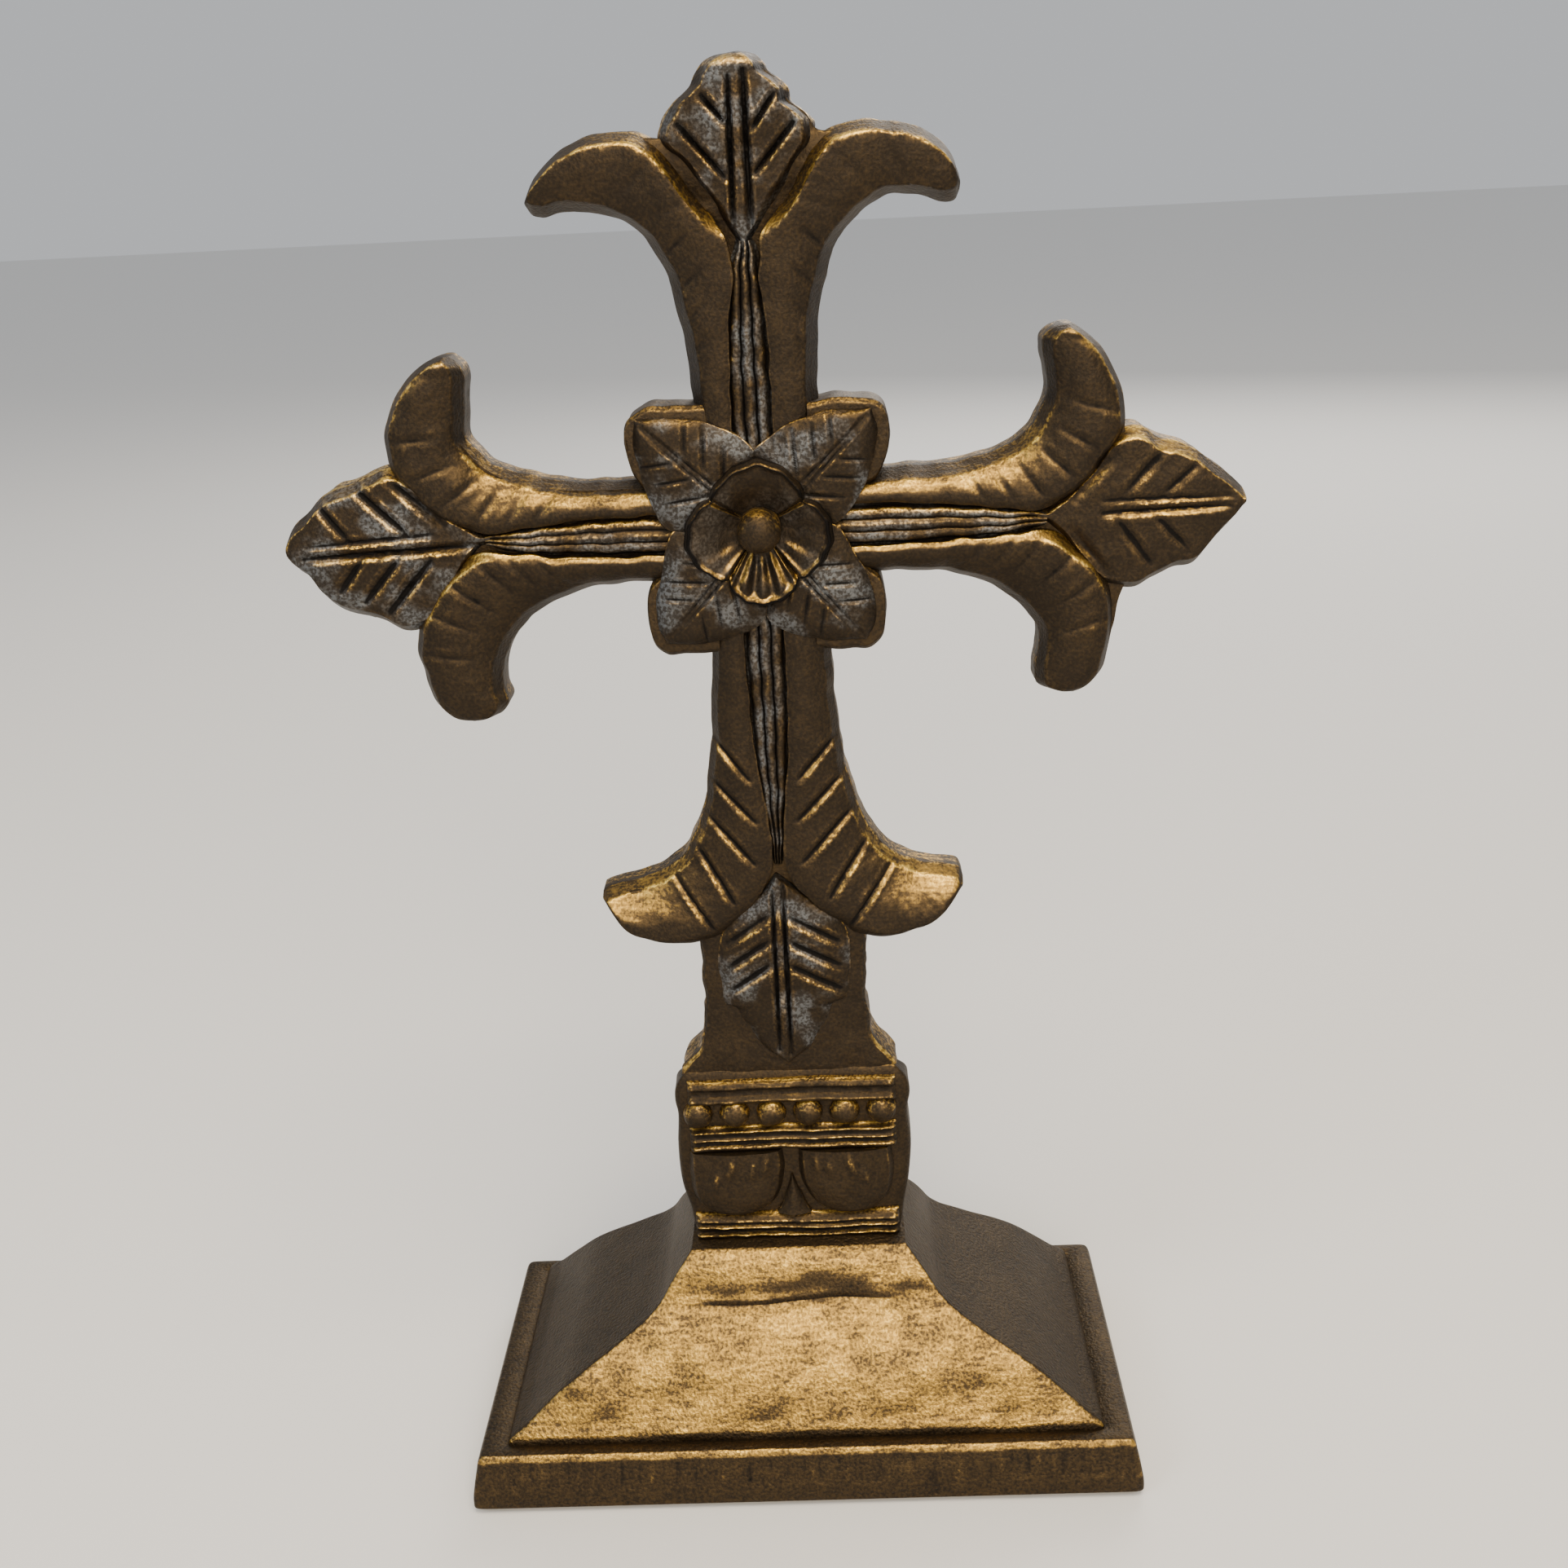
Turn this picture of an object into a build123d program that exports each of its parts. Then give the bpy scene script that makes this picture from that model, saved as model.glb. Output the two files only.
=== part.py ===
"""Altar cross: a carved and gilded cross standing on a hollow-sided pyramid and a plinth.

Frame: millimetres, +Z up, +X to the viewer's right, the carved front faces -Y.
Origin: the middle of the underside of the cork pad that the cross rests on.

The cross is two sawn boards, half lapped where they meet.  Carved mouldings are glued to
their flat front: two curled bands and three reeds on each arm, a veined leaf on each tip,
four corner leaves and a flower over the crossing, and a bead and tongue collar on the stem.
"""

import os

from build123d import *

os.makedirs("parts", exist_ok=True)

# ---------------------------------------------------------------- driving dimensions

TOTAL_HEIGHT = 320.0
CROSS_Z = 226.0  # height of the crossing
ARM_REACH = 102.5  # crossing to the tip of a side arm

BOARD_FRONT = 6.0  # the boards' front face, this far in front of the middle
BOARD_BACK = 5.0  # their back face, this far behind the middle
BOARD = BOARD_FRONT + BOARD_BACK
EDGE_BREAK = 1.0
RELIEF = 4.2  # height of the carving on the arms
RELIEF_EDGE = 0.8
CORNER_RELIEF = 6.2
SHAFT_HALF = 12.8
CROSSBAR_HALF = 10.3
DOWEL = 5.0
DOWEL_PITCH = 14.0

PAD = 1.2
PAD_MARGIN = 4.0
PAD_CORNER = 4.0
PLINTH_CORNER = 3.0
PLINTH_ARRIS = 1.2  # rounding of the plinth's upper edge
PLINTH_FOOT = (158.0, 84.0)
PLINTH_TOP = (153.0, 80.0)
PLINTH_TOP_Z = 15.0
PYRAMID_FOOT = (141.0, 71.0)
PYRAMID_TOP = (51.2, 30.0)
PYRAMID_TOP_Z = 53.4
PYRAMID_HOLLOW = [(0.93, 0.11), (0.55, 0.39), (0.35, 0.53), (0.14, 0.76), (0.06, 0.91)]
SHADOW_GAP = 0.8  # height of the groove round the pyramid's foot
SHADOW_DEPTH = 1.0

COLLAR_TOP_Z = 98.0
COLLAR_HALF = 27.5
COLLAR_FRONT_HALF = 24.5
COLLAR_FRONT = 10.0
COLLAR_BACK = 10.0
COLLAR_WEATHERING_Z = 84.0  # the back slopes up and in to the boards from here
COLLAR_CORNER = 2.6  # chamfer on the collar's front edges
TOP_MOULDING = (23.6, 2.2)  # half length and how far it stands proud
MID_MOULDING = (COLLAR_FRONT_HALF, 2.4)
FOOT_MOULDING = (COLLAR_FRONT_HALF + 0.4, 2.6)
MOULDING_EDGE = 0.6  # height of a moulding's upper and lower lips
MOULDING_VALLEY = 0.8
TOP_MOULDING_Z = (91.6, COLLAR_TOP_Z + 0.4)
BEAD_Z = 88.0
BEAD = 3.4
BEAD_PITCH = 8.6
BEADS = 6
MID_MOULDING_Z = (78.0, 84.4)
PETAL_Z = (61.2, 77.8)
PETAL_RELIEF = 3.2
PETAL_EDGE = 1.0
BUD_RELIEF = 1.8
BUD_EDGE = 0.4
FOOT_MOULDING_Z = (PYRAMID_TOP_Z + 0.2, 60.0)

STEM_FACING = 3.6  # thickness of the facing round the hanging leaf
FLOWER_BACK = 10.0
FLOWER_HEIGHT = 4.0
PETAL_TIP = 15.6
PETAL_NOTCH = 11.2
PETAL_SHOULDER = 12.2
BOSS = 4.5
BOSS_PEG = 3.0
PEG_END = 2.0

TENON_HALF = 13.0
TENON_FRONT = 4.5
TENON_FOOT_Z = 34.0

BOLT = 6.0
BOLT_HEAD = 10.0
BOLT_HEAD_HEIGHT = 4.0
BOLT_END_Z = 52.0
BOLT_ROOM = 6.0  # hole above the insert that takes the bolt's end
BOLT_CHAMFER = 0.8
CLEARANCE = 0.3  # round the bolt
WASHER = (14.0, 1.2)
WASHER_POCKET_Z = 7.0
WASHER_CLEARANCE = 0.5
WASHER_PLAY = 0.2
INSERT_DIAMETER = 9.0
INSERT_LENGTH = 16.0

SCREW_AT = (100.0, 40.0)
SCREW = 3.5
SCREW_HEAD = 7.0
SCREW_TIP_Z = 22.0
SCREW_POINT = 3.0


# ---------------------------------------------------------------- small helpers


def front_plane(forward):
    """The plane facing the viewer, this far in front of the middle; local y is height."""
    return Plane.XZ.offset(forward)


def save(builder, name):
    """Label a finished sub-part and write its STEP file."""
    builder.part.label = name
    export_step(builder.part, f"parts/{name}.step")


LEVEL = Plane.XZ.offset(-CROSS_Z)  # in a front sketch, the side arms' middle line


def above(points, side=1):
    """Points given as (along, aside) on the top arm, as (x, z)."""
    return [(side * aside, CROSS_Z + along) for along, aside in points]


def below(points, side=1):
    """Points given as (along, aside) on the lower arm, as (x, z)."""
    return [(side * aside, CROSS_Z - along) for along, aside in points]


def beside(points, side=1, up=1):
    """Points given as (along, aside) on a side arm, as (x, z)."""
    return [(side * along, CROSS_Z + up * aside) for along, aside in points]


def linked(runs, loop=True):
    """Carry each run on to the next one's start, and the last to the first if it is a loop."""
    starts = [run[0] for run in runs[1:]] + ([runs[0][0]] if loop else [])
    return [list(run) + starts[i : i + 1] for i, run in enumerate(runs)]


def outline(runs, forward, about=None):
    """A face on the front plane inside smooth runs, or inside them and their mirror image."""
    with BuildSketch(front_plane(forward)) as face:
        with BuildLine():
            for run in linked(runs, loop=about is None):
                Spline(*run) if len(run) > 2 else Line(*run)
            if about:
                mirror(about=about)
        make_face()
    return face.sketch


def carving(runs, forward, height, about=None, edge=RELIEF_EDGE):
    """A flat-backed piece of carving with its front edge eased."""
    with BuildPart() as piece:
        extrude(outline(runs, forward, about), amount=height)
        chamfer(piece.faces().sort_by(Axis.Y)[0].edges(), edge)
    return piece


# ---------------------------------------------------------------- sawn outlines
# (along the arm from the crossing, aside from its middle line)

TOP_HOLLOW = [(26, SHAFT_HALF), (43, 13), (53, 15.5), (61, 20.5), (66, 28), (66.3, 36)]
TOP_CURL = [(66.3, 41), (69.5, 43), (76, 39), (80, 31), (81.5, 22), (79.5, 16)]
TOP_LEAF = [(85.5, 11.6), (90.5, 8.2), (TOTAL_HEIGHT - CROSS_Z, 0)]

SIDE_HOLLOW = [(28, CROSSBAR_HALF), (37, 11), (46, 13), (53, 17), (58, 23), (60, 30)]
SIDE_CURL = [(60, 36.5), (62.5, 38.7), (70, 36.5), (74.5, 30), (76.5, 24), (76.2, 17.5)]
SIDE_LEAF = [(84, 15), (89, 11.8), (96, 8), (ARM_REACH, 0)]

LOW_HOLLOW = [(26, SHAFT_HALF), (40, 13.4), (56, 14.8), (65, 17.5), (72, 22), (79, 30)]
LOW_CURL = [(81, 40.5), (85, 40.5), (91, 36), (93.5, 28), (94.5, 23.5), (92.5, 18.6)]
STEM = [(116, 18.6), (121.5, 20.2), (125.5, 23.5), (CROSS_Z - COLLAR_TOP_Z, COLLAR_HALF)]


# ---------------------------------------------------------------- base

with BuildPart() as cork_pad:
    with BuildSketch():
        RectangleRounded(PLINTH_FOOT[0] - 2 * PAD_MARGIN, PLINTH_FOOT[1] - 2 * PAD_MARGIN, PAD_CORNER)
    extrude(amount=PAD)
save(cork_pad, "cork_pad")

with BuildPart() as base_plinth:
    with BuildSketch(Plane.XY.offset(PAD)):
        RectangleRounded(*PLINTH_FOOT, PLINTH_CORNER)
    with BuildSketch(Plane.XY.offset(PLINTH_TOP_Z)):
        RectangleRounded(*PLINTH_TOP, PLINTH_CORNER)
    loft()
    fillet(base_plinth.faces().sort_by(Axis.Z)[-1].edges(), PLINTH_ARRIS)
    with BuildSketch(Plane.XY.offset(PAD)):
        Circle(WASHER[0] / 2 + WASHER_CLEARANCE)
    extrude(amount=WASHER_POCKET_Z - PAD, mode=Mode.SUBTRACT)
    with BuildSketch(Plane.XY.offset(PAD)):
        Circle(BOLT / 2 + CLEARANCE)
    extrude(amount=PLINTH_TOP_Z, mode=Mode.SUBTRACT)
    with Locations(Plane(origin=(0, 0, PAD), z_dir=(0, 0, -1))):
        with GridLocations(*SCREW_AT, 2, 2):
            CounterSinkHole(SCREW / 2, SCREW_HEAD / 2, PLINTH_TOP_Z)
save(base_plinth, "base_plinth")


def pyramid_profile(foot, top):
    """Half the hollow-sided slope from foot to top, as (out, height) points."""
    rise = PYRAMID_TOP_Z - PLINTH_TOP_Z - SHADOW_GAP
    slope = [(foot, PLINTH_TOP_Z + SHADOW_GAP)]
    for out, up in PYRAMID_HOLLOW:
        slope.append((top + (foot - top) * out, PYRAMID_TOP_Z - rise * (1 - up)))
    slope += [(top, PYRAMID_TOP_Z)]
    return slope


def pyramid_section(plane, foot, top):
    """The pyramid's upright section on this plane."""
    slope = pyramid_profile(foot, top)
    with BuildSketch(plane) as section:
        with BuildLine():
            Spline(*slope)
            Line(slope[-1], (0, PYRAMID_TOP_Z))
            recess = foot - SHADOW_DEPTH
            Polyline(slope[0], (recess, slope[0][1]), (recess, PLINTH_TOP_Z), (0, PLINTH_TOP_Z))
            mirror(about=Plane.YZ)
        make_face()
    return section.sketch


with BuildPart() as base_pyramid:
    extrude(pyramid_section(Plane.XZ, PYRAMID_FOOT[0] / 2, PYRAMID_TOP[0] / 2), PYRAMID_FOOT[1], both=True)
    extrude(
        pyramid_section(Plane.YZ, PYRAMID_FOOT[1] / 2, PYRAMID_TOP[1] / 2),
        amount=PYRAMID_FOOT[0],
        both=True,
        mode=Mode.INTERSECT,
    )
    with BuildSketch(Plane.XY.offset(TENON_FOOT_Z)):
        Rectangle(2 * TENON_HALF, 2 * TENON_FRONT)
    extrude(amount=PYRAMID_TOP_Z, mode=Mode.SUBTRACT)
    with BuildSketch(Plane.XY):
        Circle(BOLT / 2 + CLEARANCE)
    extrude(amount=PYRAMID_TOP_Z, mode=Mode.SUBTRACT)
    with BuildSketch(Plane.XY):
        with GridLocations(*SCREW_AT, 2, 2):
            Circle(SCREW / 2)
    extrude(amount=SCREW_TIP_Z, mode=Mode.SUBTRACT)
save(base_pyramid, "base_pyramid")

with BuildPart() as one_screw:
    with BuildSketch(Plane.XZ):
        with BuildLine():
            Polyline(
                (0, PAD),
                (SCREW_HEAD / 2, PAD),
                (SCREW / 2, PAD + (SCREW_HEAD - SCREW) / 2),
                (SCREW / 2, SCREW_TIP_Z - SCREW_POINT),
                (0, SCREW_TIP_Z),
                close=True,
            )
        make_face()
    revolve(axis=Axis.Z)

with BuildPart() as base_screws:
    with GridLocations(*SCREW_AT, 2, 2):
        add(one_screw.part)
save(base_screws, "base_screws")

with BuildPart() as tie_bolt:
    with BuildSketch(Plane.XY.offset(WASHER_POCKET_Z - WASHER[1] - BOLT_HEAD_HEIGHT)):
        RegularPolygon(BOLT_HEAD / 2, 6, major_radius=False)
    extrude(amount=BOLT_HEAD_HEIGHT)
    with BuildSketch(Plane.XY.offset(WASHER_POCKET_Z - WASHER[1])):
        Circle(BOLT / 2)
    extrude(amount=BOLT_END_Z - WASHER_POCKET_Z + WASHER[1])
    chamfer(tie_bolt.faces().sort_by(Axis.Z)[-1].edges(), BOLT_CHAMFER)
save(tie_bolt, "tie_bolt")

with BuildPart() as bolt_washer:
    with BuildSketch(Plane.XY.offset(WASHER_POCKET_Z - WASHER[1])):
        Circle(WASHER[0] / 2)
        Circle(BOLT / 2 + WASHER_PLAY, mode=Mode.SUBTRACT)
    extrude(amount=WASHER[1])
save(bolt_washer, "bolt_washer")

with BuildPart() as threaded_insert:
    with BuildSketch(Plane.XY.offset(TENON_FOOT_Z)):
        Circle(INSERT_DIAMETER / 2)
        Circle(BOLT / 2, mode=Mode.SUBTRACT)
    extrude(amount=INSERT_LENGTH)
save(threaded_insert, "threaded_insert")


# ---------------------------------------------------------------- the two boards

with BuildPart() as upright_board:
    with BuildSketch(front_plane(-BOARD_BACK)):
        with BuildLine():
            Spline(*above(TOP_HOLLOW))
            Spline(*above([TOP_HOLLOW[-1]] + TOP_CURL))
            Spline(*above([TOP_CURL[-1]] + TOP_LEAF))
            Line(above(TOP_HOLLOW)[0], below(LOW_HOLLOW)[0])
            Spline(*below(LOW_HOLLOW))
            Spline(*below([LOW_HOLLOW[-1]] + LOW_CURL))
            Line(below(LOW_CURL)[-1], below(STEM)[0])
            Spline(*below(STEM))
            Line(below(STEM)[-1], (0, COLLAR_TOP_Z))
            mirror(about=Plane.YZ)
        make_face()
    extrude(amount=BOARD)
    chamfer(upright_board.faces().sort_by(Axis.Y)[-1].edges(), EDGE_BREAK)
    with BuildSketch(Plane.XY.offset(TENON_FOOT_Z)):
        Rectangle(2 * TENON_HALF, 2 * TENON_FRONT)
    extrude(amount=COLLAR_TOP_Z - TENON_FOOT_Z)
    with BuildSketch(front_plane(0)):
        with Locations((0, CROSS_Z)):
            Rectangle(4 * SHAFT_HALF, 2 * CROSSBAR_HALF)
    extrude(amount=BOARD_FRONT, mode=Mode.SUBTRACT)
    with BuildSketch(Plane.XY.offset(TENON_FOOT_Z)):
        Circle(INSERT_DIAMETER / 2)
    extrude(amount=INSERT_LENGTH, mode=Mode.SUBTRACT)
    with BuildSketch(Plane.XY.offset(TENON_FOOT_Z + INSERT_LENGTH)):
        Circle(BOLT / 2 + CLEARANCE)
    extrude(amount=BOLT_ROOM, mode=Mode.SUBTRACT)
    with BuildSketch(front_plane(-BOARD_BACK)):
        with Locations((0, CROSS_Z)), GridLocations(DOWEL_PITCH, 0, 2, 1):
            Circle(DOWEL / 2)
    extrude(amount=BOARD, mode=Mode.SUBTRACT)
save(upright_board, "upright_board")

with BuildPart() as crossbar_board:
    with BuildSketch(front_plane(-BOARD_BACK)):
        with BuildLine():
            Line((0, CROSS_Z + CROSSBAR_HALF), beside(SIDE_HOLLOW)[0])
            Spline(*beside(SIDE_HOLLOW))
            Spline(*beside([SIDE_HOLLOW[-1]] + SIDE_CURL))
            Spline(*beside([SIDE_CURL[-1]] + SIDE_LEAF))
            mirror(about=LEVEL)
            mirror(about=Plane.YZ)
        make_face()
    extrude(amount=BOARD)
    chamfer(crossbar_board.faces().sort_by(Axis.Y)[-1].edges(), EDGE_BREAK)
    with BuildSketch(front_plane(-BOARD_BACK)):
        with Locations((0, CROSS_Z)):
            Rectangle(2 * SHAFT_HALF, 4 * CROSSBAR_HALF)
    extrude(amount=BOARD_BACK, mode=Mode.SUBTRACT)
    with BuildSketch(front_plane(-BOARD_BACK)):
        with Locations((0, CROSS_Z)), GridLocations(DOWEL_PITCH, 0, 2, 1):
            Circle(DOWEL / 2)
    extrude(amount=BOARD, mode=Mode.SUBTRACT)
    with BuildSketch(front_plane(PEG_END)):
        with Locations((0, CROSS_Z)):
            Circle(BOSS_PEG / 2)
    extrude(amount=BOARD, mode=Mode.SUBTRACT)
save(crossbar_board, "crossbar_board")

with BuildPart() as lap_dowels:
    with BuildSketch(front_plane(-BOARD_BACK)):
        with Locations((0, CROSS_Z)), GridLocations(DOWEL_PITCH, 0, 2, 1):
            Circle(DOWEL / 2)
    extrude(amount=BOARD)
save(lap_dowels, "lap_dowels")


# ---------------------------------------------------------------- carved outlines
# Each band is bounded by the arm's hollow edge, the curl, the leaf's edge and the reeds.

TOP_BAND = [
    [(25.5, 11.8), (43, 12), (53, 14.3), (61.5, 19), (67.3, 27), (67.6, 36)],
    [(67.8, 40.3), (70, 41.6), (75, 38), (78.8, 30.5), (80, 22), (78.3, 17.3)],
    [(77, 14.6), (72, 10.8), (67, 6.8), (62.5, 4)],
    [(58, 2.2), (52, 3.2), (44, 5.2), (32, 5.4)],
    [(20.5, 5.4)],
]
TOP_REEDS = [(18.5, 0), (20, 3.4), (30, 4.4), (43, 3.9), (50, 2.4), (54, 1.4), (58, 0)]
TOP_TIP_LEAF = [(60, 0), (67.5, 5.4), (77.5, 13.4), (82, 12.4), (88, 8), (91, 5), (92.3, 0)]

SIDE_BAND = [
    [(25, 9.3), (37, 10), (46, 12), (52.5, 15.6), (59, 22.5), (61.2, 30)],
    [(61.2, 36), (63, 37.5), (69.3, 35.4), (73.3, 30), (75.2, 24), (75, 18.8)],
    [(74.2, 15.2), (71, 10.8), (67, 6.6), (62.5, 3.6)],
    [(59, 1.4), (50, 2.7), (40, 4.2), (30, 4.4)],
    [(23, 4.4)],
]
SIDE_REEDS = [(20, 0), (21.5, 2.6), (27, 3.4), (40, 3), (50, 1.5), (59, 0)]
SIDE_TIP_LEAF = [(61, 0), (68.5, 6), (76, 13.6), (82, 13.4), (88, 10.5), (95, 7), (100.5, 0)]

LOW_BAND = [
    [(27, 11.8), (40, 12.4), (56, 13.8), (65.5, 16.4), (73, 21), (80.3, 29)],
    [(82.3, 39), (84.7, 39), (90, 35), (92.3, 28), (93, 24), (91.4, 19.6)],
    [(91.4, 13.4), (86, 7.6), (80.5, 1.2)],
    [(75, 1.6), (65, 3.6), (50, 5.2), (36, 5.2)],
    [(24.8, 5.2)],
]
LOW_REEDS = [(21.5, 0), (23.5, 3.3), (32, 4.2), (45, 4.1), (60, 2.5), (70, 1), (77, 0)]
HANGING_LEAF = [
    [(82, 0), (87, 6.2), (94, 13.4), (103, 14.8)],
    [(111, 13)],
    [(112, 10.4), (117, 9), (122, 5.8), (126.4, 0)],
]
STEM_FACING_EDGE = [
    [(94, 0)],
    [(94, 17.6)],
    [(116, 17.6), (121.5, 19), (125, 21.8)],
    [(CROSS_Z - COLLAR_TOP_Z, 24.6), (CROSS_Z - COLLAR_TOP_Z, 0)],
]

TOP_CORNER = [
    [(0, 16), (4, 18), (12.5, 22.6), (19, 23.6)],
    [(25.3, 23.6), (24.8, 17), (22.4, 8)],
    [(19.2, 0)],
]
LOW_CORNER = [
    [(0, 20.6), (4, 22.4), (12, 24.3), (19, 25.2)],
    [(22.8, 24.2), (23.8, 18), (22.4, 8)],
    [(19.2, 0)],
]
CORNER_BLOCK = [
    (SHAFT_HALF, CROSSBAR_HALF),
    (SHAFT_HALF, 26),
    (24, 26),
    (27.2, 23),
    (26.4, 17),
    (25.4, CROSSBAR_HALF),
]


# ---------------------------------------------------------------- bands, reeds and leaves

for side, hand in ((-1, "left"), (1, "right")):
    band = carving([above(run, side) for run in TOP_BAND], BOARD_FRONT, RELIEF)
    save(band, f"top_curl_{hand}")
    band = carving([below(run, side) for run in LOW_BAND], BOARD_FRONT, RELIEF)
    save(band, f"lower_curl_{hand}")
    for up, end in ((1, "upper"), (-1, "lower")):
        band = carving([beside(run, side, up) for run in SIDE_BAND], BOARD_FRONT, RELIEF)
        save(band, f"{hand}_curl_{end}")

    reeds = carving([beside(SIDE_REEDS, side)], BOARD_FRONT, RELIEF, LEVEL)
    save(reeds, f"{hand}_reeds")
    leaf = carving([beside(SIDE_TIP_LEAF, side)], BOARD_FRONT, RELIEF, LEVEL)
    save(leaf, f"{hand}_leaf")

save(carving([above(TOP_REEDS)], BOARD_FRONT, RELIEF, Plane.YZ), "top_reeds")
save(carving([above(TOP_TIP_LEAF)], BOARD_FRONT, RELIEF, Plane.YZ), "top_leaf")
save(carving([below(LOW_REEDS)], BOARD_FRONT, RELIEF, Plane.YZ), "lower_reeds")

hanging_runs = [below(run) for run in HANGING_LEAF]
save(carving(hanging_runs, BOARD_FRONT, RELIEF, Plane.YZ), "hanging_leaf")

with BuildPart() as stem_facing:
    facing_runs = [below(run) for run in STEM_FACING_EDGE]
    extrude(outline(facing_runs, BOARD_FRONT, Plane.YZ), amount=STEM_FACING)
    extrude(outline(hanging_runs, BOARD_FRONT, Plane.YZ), amount=RELIEF, mode=Mode.SUBTRACT)
save(stem_facing, "stem_facing")


# ---------------------------------------------------------------- crossing


def flower_outline(forward):
    """The four-petalled flower: from a notch out over a shoulder to each petal's point."""
    notch, shoulder, tip = PETAL_NOTCH, PETAL_SHOULDER, PETAL_TIP
    with BuildSketch(front_plane(forward)) as face:
        with BuildLine():
            for quarter in range(4):
                turn = 90 * quarter
                points = [(notch, turn + 45), (shoulder, turn + 66), (tip, turn + 90)]
                back = [(tip, turn + 90), (shoulder, turn + 114), (notch, turn + 135)]
                for run in (points, back):
                    Spline(*[Vector(r, 0).rotate(Axis.Z, angle) for r, angle in run])
        make_face()
    return face.sketch.moved(Location((0, 0, CROSS_Z)))


with BuildPart() as rosette_flower:
    extrude(flower_outline(FLOWER_BACK), amount=FLOWER_HEIGHT)
    chamfer(rosette_flower.faces().sort_by(Axis.Y)[0].edges(), RELIEF_EDGE)
    with BuildSketch(front_plane(FLOWER_BACK)):
        with Locations((0, CROSS_Z)):
            Circle(BOSS_PEG / 2)
    extrude(amount=FLOWER_HEIGHT, mode=Mode.SUBTRACT)
save(rosette_flower, "rosette_flower")

with BuildPart() as rosette_boss:
    with BuildSketch(front_plane(PEG_END)):
        with Locations((0, CROSS_Z)):
            Circle(BOSS_PEG / 2)
    extrude(amount=FLOWER_BACK + FLOWER_HEIGHT - PEG_END)
    with BuildSketch(Plane.YZ):
        with Locations((-FLOWER_BACK - FLOWER_HEIGHT, CROSS_Z)):
            Circle(BOSS)
            Rectangle(4 * BOSS, 4 * BOSS, align=(Align.MIN, Align.CENTER), mode=Mode.SUBTRACT)
            Rectangle(4 * BOSS, 4 * BOSS, align=(Align.CENTER, Align.MAX), mode=Mode.SUBTRACT)
    revolve(axis=Axis((0, 0, CROSS_Z), (0, 1, 0)))
save(rosette_boss, "rosette_boss")

for up, end, edge in ((1, "top", TOP_CORNER), (-1, "bottom", LOW_CORNER)):
    for side, hand in ((-1, "left"), (1, "right")):
        relief_runs = [[(side * x, CROSS_Z + up * z) for x, z in run] for run in edge]
        relief_runs.append([(0, CROSS_Z)])
        block = [(side * x, CROSS_Z + up * z) for x, z in CORNER_BLOCK]
        with BuildPart() as corner_leaf:
            extrude(outline(relief_runs, BOARD_FRONT), amount=CORNER_RELIEF)
            with BuildSketch(front_plane(-BOARD_BACK)):
                Polygon(*block, align=None)
            extrude(amount=BOARD)
            extrude(flower_outline(FLOWER_BACK), amount=FLOWER_HEIGHT, mode=Mode.SUBTRACT)
            with BuildSketch(front_plane(PEG_END)):
                with Locations((0, CROSS_Z)):
                    Circle(BOSS_PEG / 2)
            extrude(amount=FLOWER_BACK, mode=Mode.SUBTRACT)
        save(corner_leaf, f"corner_leaf_{end}_{hand}")


# ---------------------------------------------------------------- collar

COLLAR_EDGE = [
    [(0, PYRAMID_TOP_Z)],
    [(25.2, PYRAMID_TOP_Z), (25.2, 59), (27.2, 66), (27.8, 79), (27, 86.5), (27.7, 92)],
    [(26.6, COLLAR_TOP_Z), (0, COLLAR_TOP_Z)],
]

with BuildPart() as collar_block:
    extrude(outline(COLLAR_EDGE, 0, Plane.YZ), amount=COLLAR_BACK, both=True)
    with BuildSketch(Plane.YZ):
        Polygon(
            (-COLLAR_FRONT, PYRAMID_TOP_Z),
            (-COLLAR_FRONT, COLLAR_TOP_Z),
            (BOARD_BACK, COLLAR_TOP_Z),
            (COLLAR_BACK, COLLAR_WEATHERING_Z),
            (COLLAR_BACK, PYRAMID_TOP_Z),
            align=None,
        )
    extrude(amount=2 * COLLAR_HALF, both=True, mode=Mode.INTERSECT)
    front_edges = collar_block.faces().sort_by(Axis.Y)[0].edges()
    chamfer(front_edges.filter_by(Axis.X, reverse=True), COLLAR_CORNER)
    with BuildSketch(Plane.XY.offset(PYRAMID_TOP_Z)):
        Rectangle(2 * TENON_HALF, 2 * TENON_FRONT)
    extrude(amount=COLLAR_TOP_Z, mode=Mode.SUBTRACT)
save(collar_block, "collar_block")


def reeded_moulding(z_range, size, name):
    """A strip across the collar's front with two rounded reeds along it."""
    low, high = z_range
    half, proud = size
    middle = (low + high) / 2
    back, front = -COLLAR_FRONT, -COLLAR_FRONT - proud
    lip, valley = back - MOULDING_EDGE, back - MOULDING_VALLEY
    with BuildPart() as strip:
        with BuildSketch(Plane.YZ):
            with BuildLine():
                ThreePointArc((lip, high), (front, (high + middle) / 2), (valley, middle))
                ThreePointArc((valley, middle), (front, (low + middle) / 2), (lip, low))
                Polyline((lip, low), (back, low), (back, high), (lip, high))
            make_face()
        extrude(amount=half, both=True)
    save(strip, name)


reeded_moulding(TOP_MOULDING_Z, TOP_MOULDING, "collar_top_moulding")
reeded_moulding(MID_MOULDING_Z, MID_MOULDING, "collar_middle_moulding")
reeded_moulding(FOOT_MOULDING_Z, FOOT_MOULDING, "collar_foot_moulding")

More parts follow.
